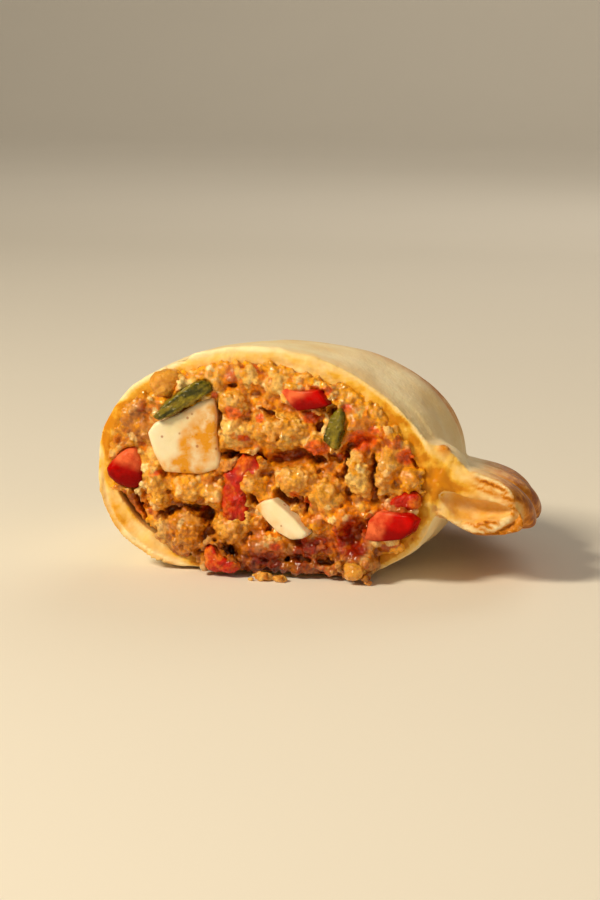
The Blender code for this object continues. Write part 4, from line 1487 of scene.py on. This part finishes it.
@dataclass
class Filling:
    """The beef: a mass that runs through the crust and breaks into clumps at the cut."""

    crust: Crust
    back: float = 0.9 * MM
    root: float = 1.6 * MM
    drawn_x: float = 0.55 * MM
    drawn_z: float = 0.45 * MM
    flattened: float = 0.84
    fringe: int = 110
    ground: int = 1500
    margin: int = 170
    hidden_behind: float = 6.0 * MM

    def core(self) -> Surface:
        """The mass behind the clumps, which fills the crust and is drawn in at the lower left."""
        crust = self.crust
        skin = crust.pillow(0.15 * MM, crust.hollow_length - 0.4 * MM, crust.cut_y, 200, 70)
        points = skin.points.copy()
        behind = points[:, 1] - crust.cut_y
        pull = Region.DRAWN_IN.share(points) * ramp(9, 1, behind)
        points[:, 0] += self.drawn_x * pull
        points[:, 2] += self.drawn_z * pull
        points[:, 1] = np.maximum(points[:, 1], crust.cut_y + self.back)
        return skin.moved(points)

    def room(self, x: Array, z: Array) -> Array:
        """How far places in the cut lie inside the crust's inner wall, in metres."""
        places = np.stack([x, np.full(len(x), self.crust.cut_y), z], -1)
        deep, wall = self.crust.depth(places)
        return deep - wall

    def bodies(self) -> Surface:
        """Every clump as a rough ellipsoid rooted behind the cut."""
        table = np.array([(c.x, c.z, c.half_x, c.half_z, c.out, c.tilt) for c in CLUMPS])
        x, z, half_x, half_z, out, tilt = table.T
        centres = np.stack([x, self.crust.cut_y / MM + self.root / MM + 0 * x, z], -1) * MM
        proud = self.flattened * out + self.root / MM
        radii = np.stack([half_x * 0.92, proud, half_z * 0.92], -1) * MM
        turn = np.radians(tilt)
        axes = np.zeros((len(x), 3, 3))
        axes[:, 0, 0], axes[:, 0, 2] = np.cos(turn), -np.sin(turn)
        axes[:, 2, 0], axes[:, 2, 2] = np.sin(turn), np.cos(turn)
        axes[:, 1, 1] = 1
        return balls(centres, radii, axes, (30, 48), 0.26, 2.8 * MM, 31)

    def lumps(self, random: np.random.Generator) -> tuple[Array, Array, Array]:
        """Where every small lump is, how large it is, and which tint it has.

        Args:
            random: the seeded generator.

        Returns:
            Centres, radii and tint numbers.
        """
        centres, radii, tints = [], [], []
        odd = tint_numbers(Tint.TAN, Tint.PALE, Tint.ORANGE, Tint.AMBER, Tint.CREAM)
        coarse = tint_numbers(Tint.TAN, Tint.ORANGE, Tint.ORANGE, Tint.BROWN, Tint.RUST, Tint.AMBER)
        for clump in CLUMPS:
            count = int(1.7 * clump.half_x * clump.half_z / (0.75 * clump.lump) ** 2)
            step = np.arange(count)
            radius = np.sqrt((step + 0.5) / count) + random.normal(0, 0.03, count)
            turn = step * math.pi * (3 - math.sqrt(5)) + random.normal(0, 0.3, count)
            tilt = math.radians(clump.tilt)
            across, high = clump.half_x * radius * np.cos(turn), clump.half_z * radius * np.sin(turn)
            x = clump.x + across * math.cos(tilt) - high * math.sin(tilt)
            z = clump.z + across * math.sin(tilt) + high * math.cos(tilt)
            root = self.root / MM
            proud = self.flattened * clump.out + root
            out = proud * np.sqrt(np.clip(1.02 - radius**2, 0.01, 1)) - root
            size = clump.lump * random.uniform(0.5, 1.0, count)
            out += random.normal(0, 0.12, count) - 0.3 * size
            centres.append(np.stack([x * MM, self.crust.cut_y - out * MM, z * MM], -1))
            radii.append(size * MM)
            own = TINT_ORDER.index(clump.tint)
            tints.append(np.where(random.random(count) < 0.8, own, random.choice(odd, count)))
        fringe, ground = self.fringe, self.ground
        x, z = random.uniform(-9, 13, fringe) * MM, random.uniform(1.0, 2.4, fringe) * MM
        centres.append(np.stack([x, self.crust.cut_y - random.uniform(0.65, 1.3, fringe) * MM, z], -1))
        radii.append(random.uniform(0.35, 0.65, fringe) * MM)
        tints.append(random.choice(tint_numbers(Tint.RUST, Tint.BROWN), fringe))
        x = random.uniform(-25, 26, ground) * MM
        z = random.uniform(1.0, 33, ground) * MM
        size = random.uniform(0.4, 0.95, ground) * MM
        out = random.normal(-0.45, 0.35, ground) * MM
        centres.append(np.stack([x, self.crust.cut_y - out, z], -1))
        radii.append(size)
        tints.append(random.choice(coarse, ground))
        for morsel in MORSELS:
            ring = np.array(morsel.outline)
            away = ring - ring.mean(axis=0)
            ring = ring + away * 0.5 / np.linalg.norm(away, axis=1)[:, None]
            count = int(2.0 * np.linalg.norm(ring - np.roll(ring, 1, axis=0), axis=1).sum())
            place = random.uniform(0, len(ring), count)
            start = place.astype(int)
            share = (place - start)[:, None]
            spot = ring[start] * (1 - share) + ring[(start + 1) % len(ring)] * share
            size = random.uniform(0.45, 0.8, count)
            out = morsel.out * random.uniform(0.2, morsel.buried, count) - 0.6 * size
            y = self.crust.cut_y - out * MM
            centres.append(np.stack([spot[:, 0] * MM, y, spot[:, 1] * MM], -1))
            radii.append(size * MM)
            tints.append(random.choice(odd, count))
        centres, radii, tints = np.concatenate(centres), np.concatenate(radii), np.concatenate(tints)
        hanging = (centres[:, 1] < self.crust.cut_y - 0.6 * MM) & (centres[:, 2] < 9 * MM)
        hanging &= np.abs(centres[:, 0] - 1 * MM) < 19 * MM
        room = self.room(centres[:, 0], centres[:, 2])
        inside = room > np.where(centres[:, 2] > 12 * MM, 0.0, 0.3) * radii
        keep = (inside | hanging) & (centres[:, 2] - radii > 0.3 * MM)
        gap = Region.GAP.share(centres)
        keep &= (gap < 0.5) | (room > 2.2 * MM)
        turn = random.uniform(0, 2 * math.pi, self.margin)
        turn = turn[(turn < math.radians(175)) | (turn > math.radians(300))]
        wall = self.crust.wall_at(turn, 0 * turn)
        inset = wall * random.uniform(0.72, 1.1, len(turn))
        x, z = self.crust.section(0 * turn, turn, inset)
        size = random.uniform(0.3, 0.6, len(turn)) * MM
        margin = np.stack([x, self.crust.cut_y - 0.1 * size, z], -1)
        amber = np.full(len(size), TINT_ORDER.index(Tint.AMBER))
        centres = np.concatenate([centres[keep], margin])
        return centres, np.concatenate([radii[keep], size]), np.concatenate([tints[keep], amber])

    def build(self) -> bpy.types.Object:
        """Fuses the core, the clumps and the lumps into one skin and gives it grains and tints.

        Returns:
            The filling's object, with its material.
        """
        random = np.random.default_rng(7)
        centres, radii, tints = self.lumps(random)
        stretch = random.uniform(0.82, 1.22, (len(centres), 3))
        axes = np.linalg.qr(random.normal(size=(len(centres), 3, 3)))[0]
        small = balls(centres, radii[:, None] * stretch, axes, (8, 12), 0.2, 0.8 * MM, 33)
        filling = joined([self.core(), self.bodies(), small]).to_object("beef_filling")
        remesh(filling, (0.25) * MM)
        relax(filling, 2)
        hidden_y = self.crust.cut_y + self.hidden_behind
        thin_out(filling, get_vectors(filling.data)[:, 1] > hidden_y)
        self.grains(filling.data)
        self.tint(filling.data, centres, radii, tints)
        dress(filling, BeefFinish.shared())
        return filling

    def crevice(self, points: Array) -> Array:
        """How far each point is pushed back by the crevices, in metres, ragged at their edges."""
        ragged = 0.8 * MM * np.stack([soft_noise(points, 2.0 * MM, 45 + k, 2) for k in range(2)], -1)
        depth = np.zeros(len(points))
        for x, z, half_x, half_z, deep, tilt in CREVICES:
            turn = math.radians(tilt)
            dx, dz = points[:, 0] + ragged[:, 0] - x * MM, points[:, 2] + ragged[:, 1] - z * MM
            half_x, half_z = 0.85 * half_x, 0.85 * half_z
            along = (dx * math.cos(turn) + dz * math.sin(turn)) / (half_x * MM)
            across = (dz * math.cos(turn) - dx * math.sin(turn)) / (half_z * MM)
            depth = np.maximum(depth, deep * MM * smooth_step(1.25, 0.5, np.hypot(along, across)))
        return depth * ramp(5.5, 3.0, points[:, 1] - self.crust.cut_y)

    def grains(self, mesh: bpy.types.Mesh) -> None:
        """Opens the crevices and adds the crumble of minced meat along the normals."""
        points, normals = get_vectors(mesh), get_vectors(mesh, normals=True)
        first, second = grain_distances(points, 0.95 * MM, 41)
        shown = ramp(5, 2, points[:, 1] - self.crust.cut_y)
        shown *= 0.45 + 0.75 * smooth_step(-0.35, 0.3, soft_noise(points, 4.5 * MM, 43))
        push = 0.13 * MM * (smooth_step(0.0, 0.4, second - first) - 0.6)
        push += 0.2 * MM * (smooth_step(0.75, 0.1, first) - 0.5)
        push += 0.1 * MM * soft_noise(points, 0.55 * MM, 42, 2)
        back = self.crevice(points)
        points += normals * (push * shown)[:, None]
        points[:, 1] += back
        points[:, 2] = np.maximum(points[:, 2], 0.25 * MM)
        set_points(mesh, points)

    def hollows(self, points: Array) -> Array:
        """How deep each point lies behind the lumps round it, from 0 on a crest to 1."""
        cell = 0.7 * MM
        column = np.floor((points[:, 0] + 40 * MM) / cell).astype(int)
        row = np.floor((points[:, 2] + 10 * MM) / cell).astype(int)
        level = np.full((140, 140), self.crust.cut_y + 2 * MM)
        np.minimum.at(level, (row, column), points[:, 1])
        for _ in range(4):
            sides = [np.roll(level, shift, axis) for shift in (1, -1) for axis in (0, 1)]
            level = (level + sum(sides)) / 5
        return np.clip((points[:, 1] - level[row, column]) / (1.8 * MM) + 0.15, 0, 1)

    def tint(self, mesh: bpy.types.Mesh, centres: Array, radii: Array, tints: Array) -> None:
        """Colours each point by its nearest lump: paler on crests (painted highlight), redder and
        darker in the hollows (sauce and painted shade), at set spots and near the floor (painted
        shade).

        Args:
            mesh: the fused mesh.
            centres: the lumps' places.
            radii: the lumps' radii.
            tints: the lumps' tint numbers.
        """
        points = get_vectors(mesh)
        wobble = 0.4 * MM * np.stack([soft_noise(points, 1.0 * MM, 50 + k) for k in range(3)], -1)
        nearest = np.empty(len(points), int)
        power = (centres**2).sum(1) - radii**2
        for start in range(0, len(points), 8192):
            part = slice(start, start + 8192)
            nearest[part] = (power - 2 * (points[part] + wobble[part]) @ centres.T).argmin(axis=1)
        colours = hex_rows([tint.value for tint in TINT_ORDER])[tints[nearest]]
        own = lattice(np.stack([nearest, nearest * 7, nearest * 13], -1), 3)[:, None]
        shift = 1 + 0.24 * own - 0.12
        colours = colours * shift * (1 + 0.2 * soft_noise(points, 2.4 * MM, 61, 2))[:, None]
        # Painted light: the crests are made paler as a painted highlight, and the hollows oranger,
        # partly as sauce and partly as painted shade, then darker still as painted shade.
        deep = self.hollows(points)[:, None]
        cream, sauce, hollow_shade_colour, red = hex_rows(["#F4D898", "#D27808", "#7A2C04", "#A61A00"])
        crest_highlight_patches = smooth_step(-0.1, 0.5, soft_noise(points, 1.3 * MM, 62, 2))[:, None]
        crest = 0.4 * smooth_step(0.22, 0.08, deep) * crest_highlight_patches
        colours = blended(colours, cream, crest)
        hollow_sauce_and_shade = 0.6 * smooth_step(0.3, 0.75, deep)
        colours = blended(colours, sauce, hollow_sauce_and_shade)
        shade = 0.8 * smooth_step(0.7, 1.0, deep)
        colours = blended(colours, hollow_shade_colour, shade)
        ragged = 0.7 * MM * soft_noise(points, 2.0 * MM, 63, 2)
        fleck_red = hex_rows([Tint.RED.value])
        for x, z, radius in FLECKS:
            dx, dz = points[:, 0] - x * MM + 0.7 * ragged, points[:, 2] - z * MM + 0.5 * ragged
            away = np.hypot(dx, 1.3 * dz) / (radius * MM)
            patch = (0.9 * smooth_step(1.15, 0.8, away))[:, None]
            colours = blended(colours, fleck_red, patch)
        for x, z, half_x, half_z, share in SAUCE:
            dx, dz = points[:, 0] - x * MM + ragged, points[:, 2] - z * MM - ragged
            away = np.hypot(dx / half_x, dz / half_z) / MM
            pool = (share * smooth_step(1.2, 0.7, away))[:, None]
            colours = blended(colours, red, pool)
        # Painted shade: the meat is made darker round each of these spots.
        for x, z, radius, share in PAINTED_SHADE_SPOTS:
            away = np.hypot(points[:, 0] - x * MM, points[:, 2] - z * MM) / (radius * MM)
            painted_shade = (share * smooth_step(1.25, 0.6, away))[:, None]
            colours = colours * (1 - painted_shade * np.array([0.6, 0.8, 0.95]))
        # Painted shade that deepens towards the floor: the meat low in the cut is made darker and
        # redder.
        bottom = ramp(7.5, 3.0, points[:, 2]) * ramp(11.0, 6.0, np.abs(points[:, 0] - MM))
        colours = colours * (1 - bottom[:, None] * np.array([0.6, 0.86, 0.96]))
        set_colour(mesh, "tint", np.clip(colours, 0, 1))


@dataclass
class Crumbs:
    """Crumbs of filling that fell in front of the cut."""

    cut_y: float
    spots: tuple = (
        (1.0, 3.4, 1.5, 1.0, 0.75), (3.8, 3.7, 1.0, 0.8, 0.5),
        (-0.6, 4.0, 0.5, 0.4, 0.35), (17.2, 2.6, 0.6, 0.5, 0.4),
    )

    def build(self) -> bpy.types.Object:
        """Rough flattened balls, each x, distance in front, and three radii, resting on the floor."""
        table = np.array(self.spots) * MM
        centres = np.stack([table[:, 0], self.cut_y - table[:, 1], table[:, 4] * 0.85], -1)
        axes = np.repeat(np.eye(3)[None], len(table), axis=0)
        surface = balls(centres, table[:, 2:5], axes, (40, 60), 0.55, 0.8 * MM, 81)
        points = surface.points
        points[:, 2] = np.maximum(points[:, 2], 0.0)
        crumbs = surface.moved(points).to_object("crumbs")
        mottle = soft_noise(points, 0.9 * MM, 82, 2)[:, None]
        low, high = hex_rows(["#C77A1E", "#E3B45A"])
        set_colour(crumbs.data, "tint", low + (high - low) * smooth_step(-0.5, 0.5, mottle))
        dress(crumbs, BeefFinish.shared())
        return crumbs


# What is mixed into the beef


@dataclass(frozen=True)
class Morsel:
    """One chunk that shows in the cut, with its outline in the plane of the cut in millimetres."""

    node: str
    slot: str
    finish: Morsels
    outline: tuple
    out: float
    thick: float
    corner: float
    turn: float
    roughness: float
    squareness: float = 5.0
    buried: float = 0.7
    grain: float = 1.6
    lean: tuple = (0.0, 1.0)

    def surface(self, cut_y: float) -> Surface:
        """A cushion over the outline: rings w(b) times the outline at depths d(b).

        The rings follow the superellipse w^n + d^n = 1, so n sets how square the edge is.

        Args:
            cut_y: where the plane of the cut is.

        Returns:
            The closed surface, in place.
        """
        edge, middle = rounded_ring(self.outline, self.corner, 120)
        along = 48
        b = np.linspace(-0.5, 0.5, 600) * math.pi
        width = np.cos(b) ** (2 / self.squareness)
        depth = signed_power(np.sin(b), 2 / self.squareness) * self.thick / 2 * MM
        size = np.linalg.norm(edge, axis=1).mean()
        path = np.concatenate([[0], np.cumsum(np.hypot(np.diff(width) * size, np.diff(depth)))])
        steps = np.linspace(0, path[-1], along + 2)[1:-1]
        width, depth = np.interp(steps, path, width), np.interp(steps, path, depth)
        x = edge[None, :, 0] * width[:, None]
        z = edge[None, :, 1] * width[:, None]
        y = depth[:, None] + 0 * x
        rings = np.stack([x, y, z], -1)
        half = self.thick / 2 * MM
        skin = lofted(rings, np.array((0, -half, 0)), np.array((0, half, 0)))
        cos, sin = math.cos(math.radians(self.turn)), math.sin(math.radians(self.turn))
        x, y, z = skin.points.T
        place = np.array((middle[0], cut_y - (self.out - self.thick / 2) * MM, middle[1]))
        return skin.moved(np.stack([x * cos - y * sin, x * sin + y * cos, z], -1) + place)

    def build(self, cut_y: float) -> bpy.types.Object:
        """The morsel with its roughness, its staining and painted light, and its material."""
        morsel = self.surface(cut_y).to_object(self.node + "_piece")
        mesh = morsel.data
        points, normals = get_vectors(mesh), get_vectors(mesh, normals=True)
        seed = 100 + 7 * sum(self.node.encode())
        rough = soft_noise(points, self.grain * MM, seed, 3)
        rough += 0.6 * soft_noise(points, 4.0 * MM, seed + 1)
        points += normals * (self.roughness * MM * rough)[:, None]
        points[:, 2] = np.maximum(points[:, 2], 0.3 * MM)
        set_points(mesh, points)
        set_colour(mesh, "zones", self.zones(points))
        dress(morsel, material_of(self.finish))
        return morsel

    def zones(self, points: Array) -> Array:
        """How stained and how deep in colour each point is, with painted highlight and painted shade on
        the peppers and painted shade on the egg sliver.

        Args:
            points: the morsel's points.

        Returns:
            Two shares for each, and a column of zeros.
        """
        low, high = points.min(axis=0), points.max(axis=0)
        x, _, z = ((points - low) / (high - low)).T
        stain_and_painted_light, deep = np.zeros(len(points)), np.zeros(len(points))
        if self.finish is Morsels.EGG and self.thick > 5.2:
            ragged = 0.22 * soft_noise(points, 2.4 * MM, 94, 3)
            stain_and_painted_light = smooth_step(0.5, 0.12, np.hypot(x - 0.82, 0.75 * (z - 0.5)) + ragged)
            stain_and_painted_light = np.maximum(stain_and_painted_light, 0.9 * smooth_step(0.36, 0.05, z + ragged))
        elif self.finish is Morsels.EGG:
            # The left end is stained orange; the yellower band along the lower left edge is painted
            # shade.
            stain_and_painted_light = np.maximum(0.9 * smooth_step(0.3, 0.0, x), 0.4 * smooth_step(1.0, 0.75, x + z))
        elif self.finish is Morsels.PEPPER:
            # Painted highlight on the side that lean points to, partly the paler flesh, and painted
            # shade towards the bottom, partly the darker skin.
            side = 0.5 + self.lean[0] * (x - 0.5) + self.lean[1] * (z - 0.5)
            stain_and_painted_light = 0.9 * smooth_step(0.5, 0.85, side + 0.08 * soft_noise(points, 1.2 * MM, 93, 2))
            deep = 0.85 * smooth_step(0.8, 0.2, z)
        elif self.finish is Morsels.SPRING_ONION:
            along = points[:, 0] * self.lean[0] + points[:, 2] * self.lean[1]
            across = points[:, 2] * self.lean[0] - points[:, 0] * self.lean[1]
            spread = np.stack([across, 0.3 * points[:, 1], 0.18 * along], -1)
            fibres = soft_noise(spread, 0.6 * MM, 95, 2)
            deep = 0.62 * smooth_step(0.0, 0.45, fibres)
            stain_and_painted_light = 0.5 * smooth_step(0.15, 0.5, -fibres)
        elif self.finish is Morsels.TOMATO:
            stain_and_painted_light = 0.8 * smooth_step(-0.15, 0.4, soft_noise(points, 1.6 * MM, 91, 3))
            deep = 0.7 * smooth_step(0.1, 0.6, soft_noise(points, 2.2 * MM, 92))
        return np.stack([stain_and_painted_light, deep, 0 * stain_and_painted_light], -1)


def material_of(finish: Morsels) -> bpy.types.Material:
    """The one material of a finish, made at its first use."""
    return bpy.data.materials.get(finish.value.name) or finish.value.material()


MORSELS = (
    Morsel("egg_white_chunk", "egg_white", Morsels.EGG,
           ((-17.6, 21.6), (-16.5, 23.1), (-12.8, 24.6), (-9.7, 26.4), (-7.4, 27.3), (-6.9, 25.1),
            (-6.9, 21.2),
            (-6.3, 17.5), (-6.6, 16.3), (-9.6, 15.4), (-15.1, 15.6), (-16.7, 18.6)),
            2.0, 5.5, 0.22, 6, 0.06, 12.0, 0.5),
    Morsel("egg_white_sliver", "egg_white", Morsels.EGG,
           ((-0.5, 10.9), (0.8, 11.9), (2.4, 12.3), (4.1, 11.1), (6.1, 9.6), (8.2, 7.4),
            (7.3, 6.6), (5.5, 6.3),
            (3.3, 7.3), (1.4, 8.9)), 2.6, 2.6, 0.2, -10, 0.03, 9.0, 0.4),
    Morsel("red_pepper_left", "red_pepper", Morsels.PEPPER,
           ((-24.6, 15.7), (-22.3, 18.2), (-21.2, 19.0), (-19.8, 19.1), (-18.7, 16.8),
            (-18.4, 14.2), (-19.4, 12.7),
            (-21.1, 12.8), (-22.9, 13.3), (-24.2, 14.5)),
            2.2, 4.6, 0.3, 10, 0.14, 3.4, lean=(0.35, 1.2)),
    Morsel("red_pepper_top", "red_pepper", Morsels.PEPPER,
           ((3.6, 28.6), (4.5, 29.1), (6.5, 28.7), (9.6, 29.1), (11.3, 27.0), (9.9, 26.4),
            (6.2, 25.8), (5.1, 26.7)),
           2.2, 3.6, 0.14, -8, 0.07, 10.0, lean=(-0.8, 0.45)),
    Morsel("red_pepper_right", "red_pepper", Morsels.PEPPER,
           ((16.7, 6.9), (17.3, 9.8), (18.8, 11.3), (23.7, 11.2), (25.0, 10.4), (24.2, 8.5),
            (22.7, 7.4), (18.3, 6.7)),
           3.3, 2.8, 0.14, -14, 0.08, 10.0, lean=(-0.95, 0.3)),
    Morsel("tomato_middle", "tomato", Morsels.TOMATO,
           ((-3.0, 18.3), (-1.1, 18.6), (0.4, 17.1), (-0.5, 15.9), (-2.1, 13.9), (-2.2, 11.8),
            (-2.1, 9.5), (-2.6, 7.5),
            (-4.0, 5.5), (-5.0, 5.5), (-5.9, 7.7), (-6.2, 10.3), (-6.0, 12.8), (-5.5, 15.6)),
           1.7, 4.2, 0.4, 5, 0.6, 3.4, 1.1, 0.9),
    Morsel("tomato_lower", "tomato", Morsels.TOMATO,
           ((-8.4, 3.9), (-7.4, 5.0), (-6.5, 4.5), (-5.9, 3.1), (-4.0, 2.6), (-2.4, 2.1),
            (-3.0, 0.9), (-6.8, 0.8),
            (-8.3, 1.7)), 3.6, 3.0, 0.4, 0, 0.45, 3.2, 1.0, 1.0),
    Morsel("tomato_right", "tomato", Morsels.TOMATO,
           ((19.4, 11.3), (20.4, 12.8), (21.8, 13.8), (23.9, 14.2), (25.0, 13.5), (24.8, 11.8),
            (22.5, 11.4)),
           1.8, 3.6, 0.4, -8, 0.35, 3.4, 0.9, 1.0),
    Morsel("spring_onion_left", "spring_onion", Morsels.SPRING_ONION,
           ((-16.3, 24.2), (-15.0, 25.7), (-13.7, 26.9), (-10.2, 29.5), (-8.9, 29.9),
            (-7.3, 29.4), (-7.1, 28.3),
            (-10.2, 26.3), (-13.4, 24.5), (-15.0, 23.5)),
            3.2, 2.0, 0.2, 8, 0.34, 4.0, 0.4, 0.6, lean=(0.83, 0.55)),
    Morsel("spring_onion_right", "spring_onion", Morsels.SPRING_ONION,
           ((10.0, 21.6), (10.5, 23.2), (11.1, 24.8), (11.9, 26.1), (12.6, 26.6), (13.4, 25.8),
            (13.2, 23.6),
            (12.8, 21.7), (12.3, 20.2), (11.1, 20.5)),
            2.4, 2.4, 0.2, -6, 0.24, 4.0, 0.5, 0.6, lean=(0.3, 0.95)),
    Morsel("onion_upper", "onion", Morsels.ONION,
           ((-17.7, 29.1), (-16.9, 30.5), (-15.3, 31.2), (-13.7, 31.3), (-12.5, 30.5),
            (-12.6, 29.2), (-13.4, 27.8),
            (-14.7, 26.7), (-16.1, 26.6), (-17.3, 27.6)), 1.9, 3.4, 0.6, 6, 0.4, 2.2, 1.1, 1.1),
    Morsel("onion_lower", "onion", Morsels.ONION,
           ((13.3, 3.0), (14.9, 3.8), (16.6, 3.4), (17.0, 2.0), (16.0, 0.8), (13.8, 0.8)),
           4.1, 2.6, 0.5, 0, 0.3, 2.4, 1.0, 1.0),
)


# The studio

# The middle of the part, which the lights are aimed at.
MIDDLE = (5.0 * MM, -5.0 * MM, 15.0 * MM)


@dataclass
class Studio:
    """A pale floor, soft light from the upper left, and the camera of the photograph."""

    azimuth: float = math.radians(15.0)
    elevation: float = math.radians(10.0)
    distance: float = 0.375
    lens: float = 100.0
    aim: tuple = (6.0 * MM, -20.0 * MM, 19.6 * MM)
    floor_colour: str = "#F2EEE6"
    wall_colour: str = "#ECE8E0"
    paper_patch_mm: float = 120.0
    room_colour: str = "#F0E0C6"
    room_light: float = 0.2

    def look(self, obj: bpy.types.Object, place: Vector, target: Vector) -> None:
        """Puts an object at a place and turns its -Z towards a target."""
        obj.location = place
        obj.rotation_mode = "QUATERNION"
        obj.rotation_quaternion = (target - place).to_track_quat("-Z", "Y")

    def camera(self) -> None:
        """The camera, aimed so that the cut lies where the photograph has it."""
        data = bpy.data.cameras.new("camera")
        data.lens = self.lens
        data.sensor_width = 36.0
        data.clip_start = 0.01
        camera = bpy.data.objects.new("camera", data)
        bpy.context.scene.collection.objects.link(camera)
        away = Vector((
            math.sin(self.azimuth) * math.cos(self.elevation),
            -math.cos(self.azimuth) * math.cos(self.elevation),
            math.sin(self.elevation),
        ))
        target = Vector(self.aim)
        self.look(camera, target + away * self.distance, target)
        bpy.context.scene.camera = camera

    def light(
        self, name: str, place: tuple, size: float, watts: float, code: str, target: tuple = MIDDLE
    ) -> None:
        """Adds a square soft light.

        Args:
            name: its name.
            place: where it stands, in metres.
            size: the length of its side in metres.
            watts: its power.
            code: its colour as sRGB hex.
            target: what it is aimed at, which is the part unless another place is given.
        """
        data = bpy.data.lights.new(name, "AREA")
        data.size = size
        data.energy = watts
        data.color = from_hex(code)[:3]
        lamp = bpy.data.objects.new(name, data)
        bpy.context.scene.collection.objects.link(lamp)
        self.look(lamp, Vector(place), Vector(target))

    def floor(self) -> None:
        """A plain pale floor that curves up into a wall far behind."""
        flat, bend, rows, columns = 1.2, 0.5, 30, 12
        turn = np.linspace(0.05, 0.5, columns) * math.pi
        depth = np.concatenate([np.linspace(-1.5, flat, rows), flat + bend * np.sin(turn), [1.7]])
        rise = np.concatenate([np.zeros(rows), bend - bend * np.cos(turn), [2.2]])
        x = np.repeat(np.linspace(-2.5, 2.5, columns)[None], len(depth), axis=0)
        points = np.stack([x, depth[:, None] + 0 * x, rise[:, None] + 0 * x], -1).reshape(-1, 3)
        index = np.arange(len(points)).reshape(len(depth), columns)
        quads = grid_faces(index)
        floor = Surface(points, quads, np.zeros((0, 3), int)).to_object("studio_floor")
        paint = Paint.named("studio_paper")
        place = paint.add("ShaderNodeTexCoord").outputs["Object"]
        scale = per_mm(self.paper_patch_mm)
        tone = paint.add("ShaderNodeTexNoise", Vector=place, Scale=scale, Detail=2.0, Roughness=0.55)
        colour = paint.layered(from_hex(self.floor_colour), (tone, 0.3, 0.7, 0.25, self.wall_colour))
        paint.wire(paint.shader, Base_Color=colour, Roughness=0.75)
        floor.data.materials.append(paint.material)
        floor.data.shade_smooth()

    def build(self) -> None:
        """Sets up the camera, the floor, the lights and the even light of the room."""
        self.camera()
        self.floor()
        self.light("key", (-0.40, -0.44, 0.5), 0.18, 5.8, "#FFEECE")
        self.light("fill", (0.5, -0.5, 0.25), 0.6, 0.6, "#FFE9CF")
        self.light("back", (0.1, 0.6, 0.45), 0.4, 0.9, "#FFF4E4")
        self.light("wall", (0.0, 0.75, 0.8), 1.0, 2.5, "#FFF4E4", (0.0, 1.8, 0.45))
        world = bpy.data.worlds.new("room")
        world.use_nodes = True
        background = world.node_tree.nodes["Background"]
        background.inputs["Color"].default_value = from_hex(self.room_colour)
        background.inputs["Strength"].default_value = self.room_light
        bpy.context.scene.world = world
        bpy.context.scene.view_settings.view_transform = "Standard"


def place_piece(piece: bpy.types.Object, slot: str, *nodes: str) -> None:
    """Fixes a finished piece to the part and hides the imported nodes that it replaces.

    Args:
        piece: the finished object.
        slot: not used.
        *nodes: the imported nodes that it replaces.
    """
    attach(piece, BODY)
    if nodes:
        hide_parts(*nodes)
    LOG.info("%s: %d faces", piece.name, len(piece.data.polygons))


def main() -> None:
    """Builds the crust, the filling, its morsels and the studio."""
    logging.basicConfig(level=logging.INFO, format="%(name)s %(message)s")
    crust = Crust()
    place_piece(crust.build(), "pastry", "pastry")
    place_piece(Filling(crust).build(), "beef_filling", "filling")
    place_piece(Crumbs(crust.cut_y).build(), "beef_filling")
    for morsel in MORSELS:
        place_piece(morsel.build(crust.cut_y), morsel.slot, morsel.node)
    Studio().build()


if __name__ == "__main__":
    main()
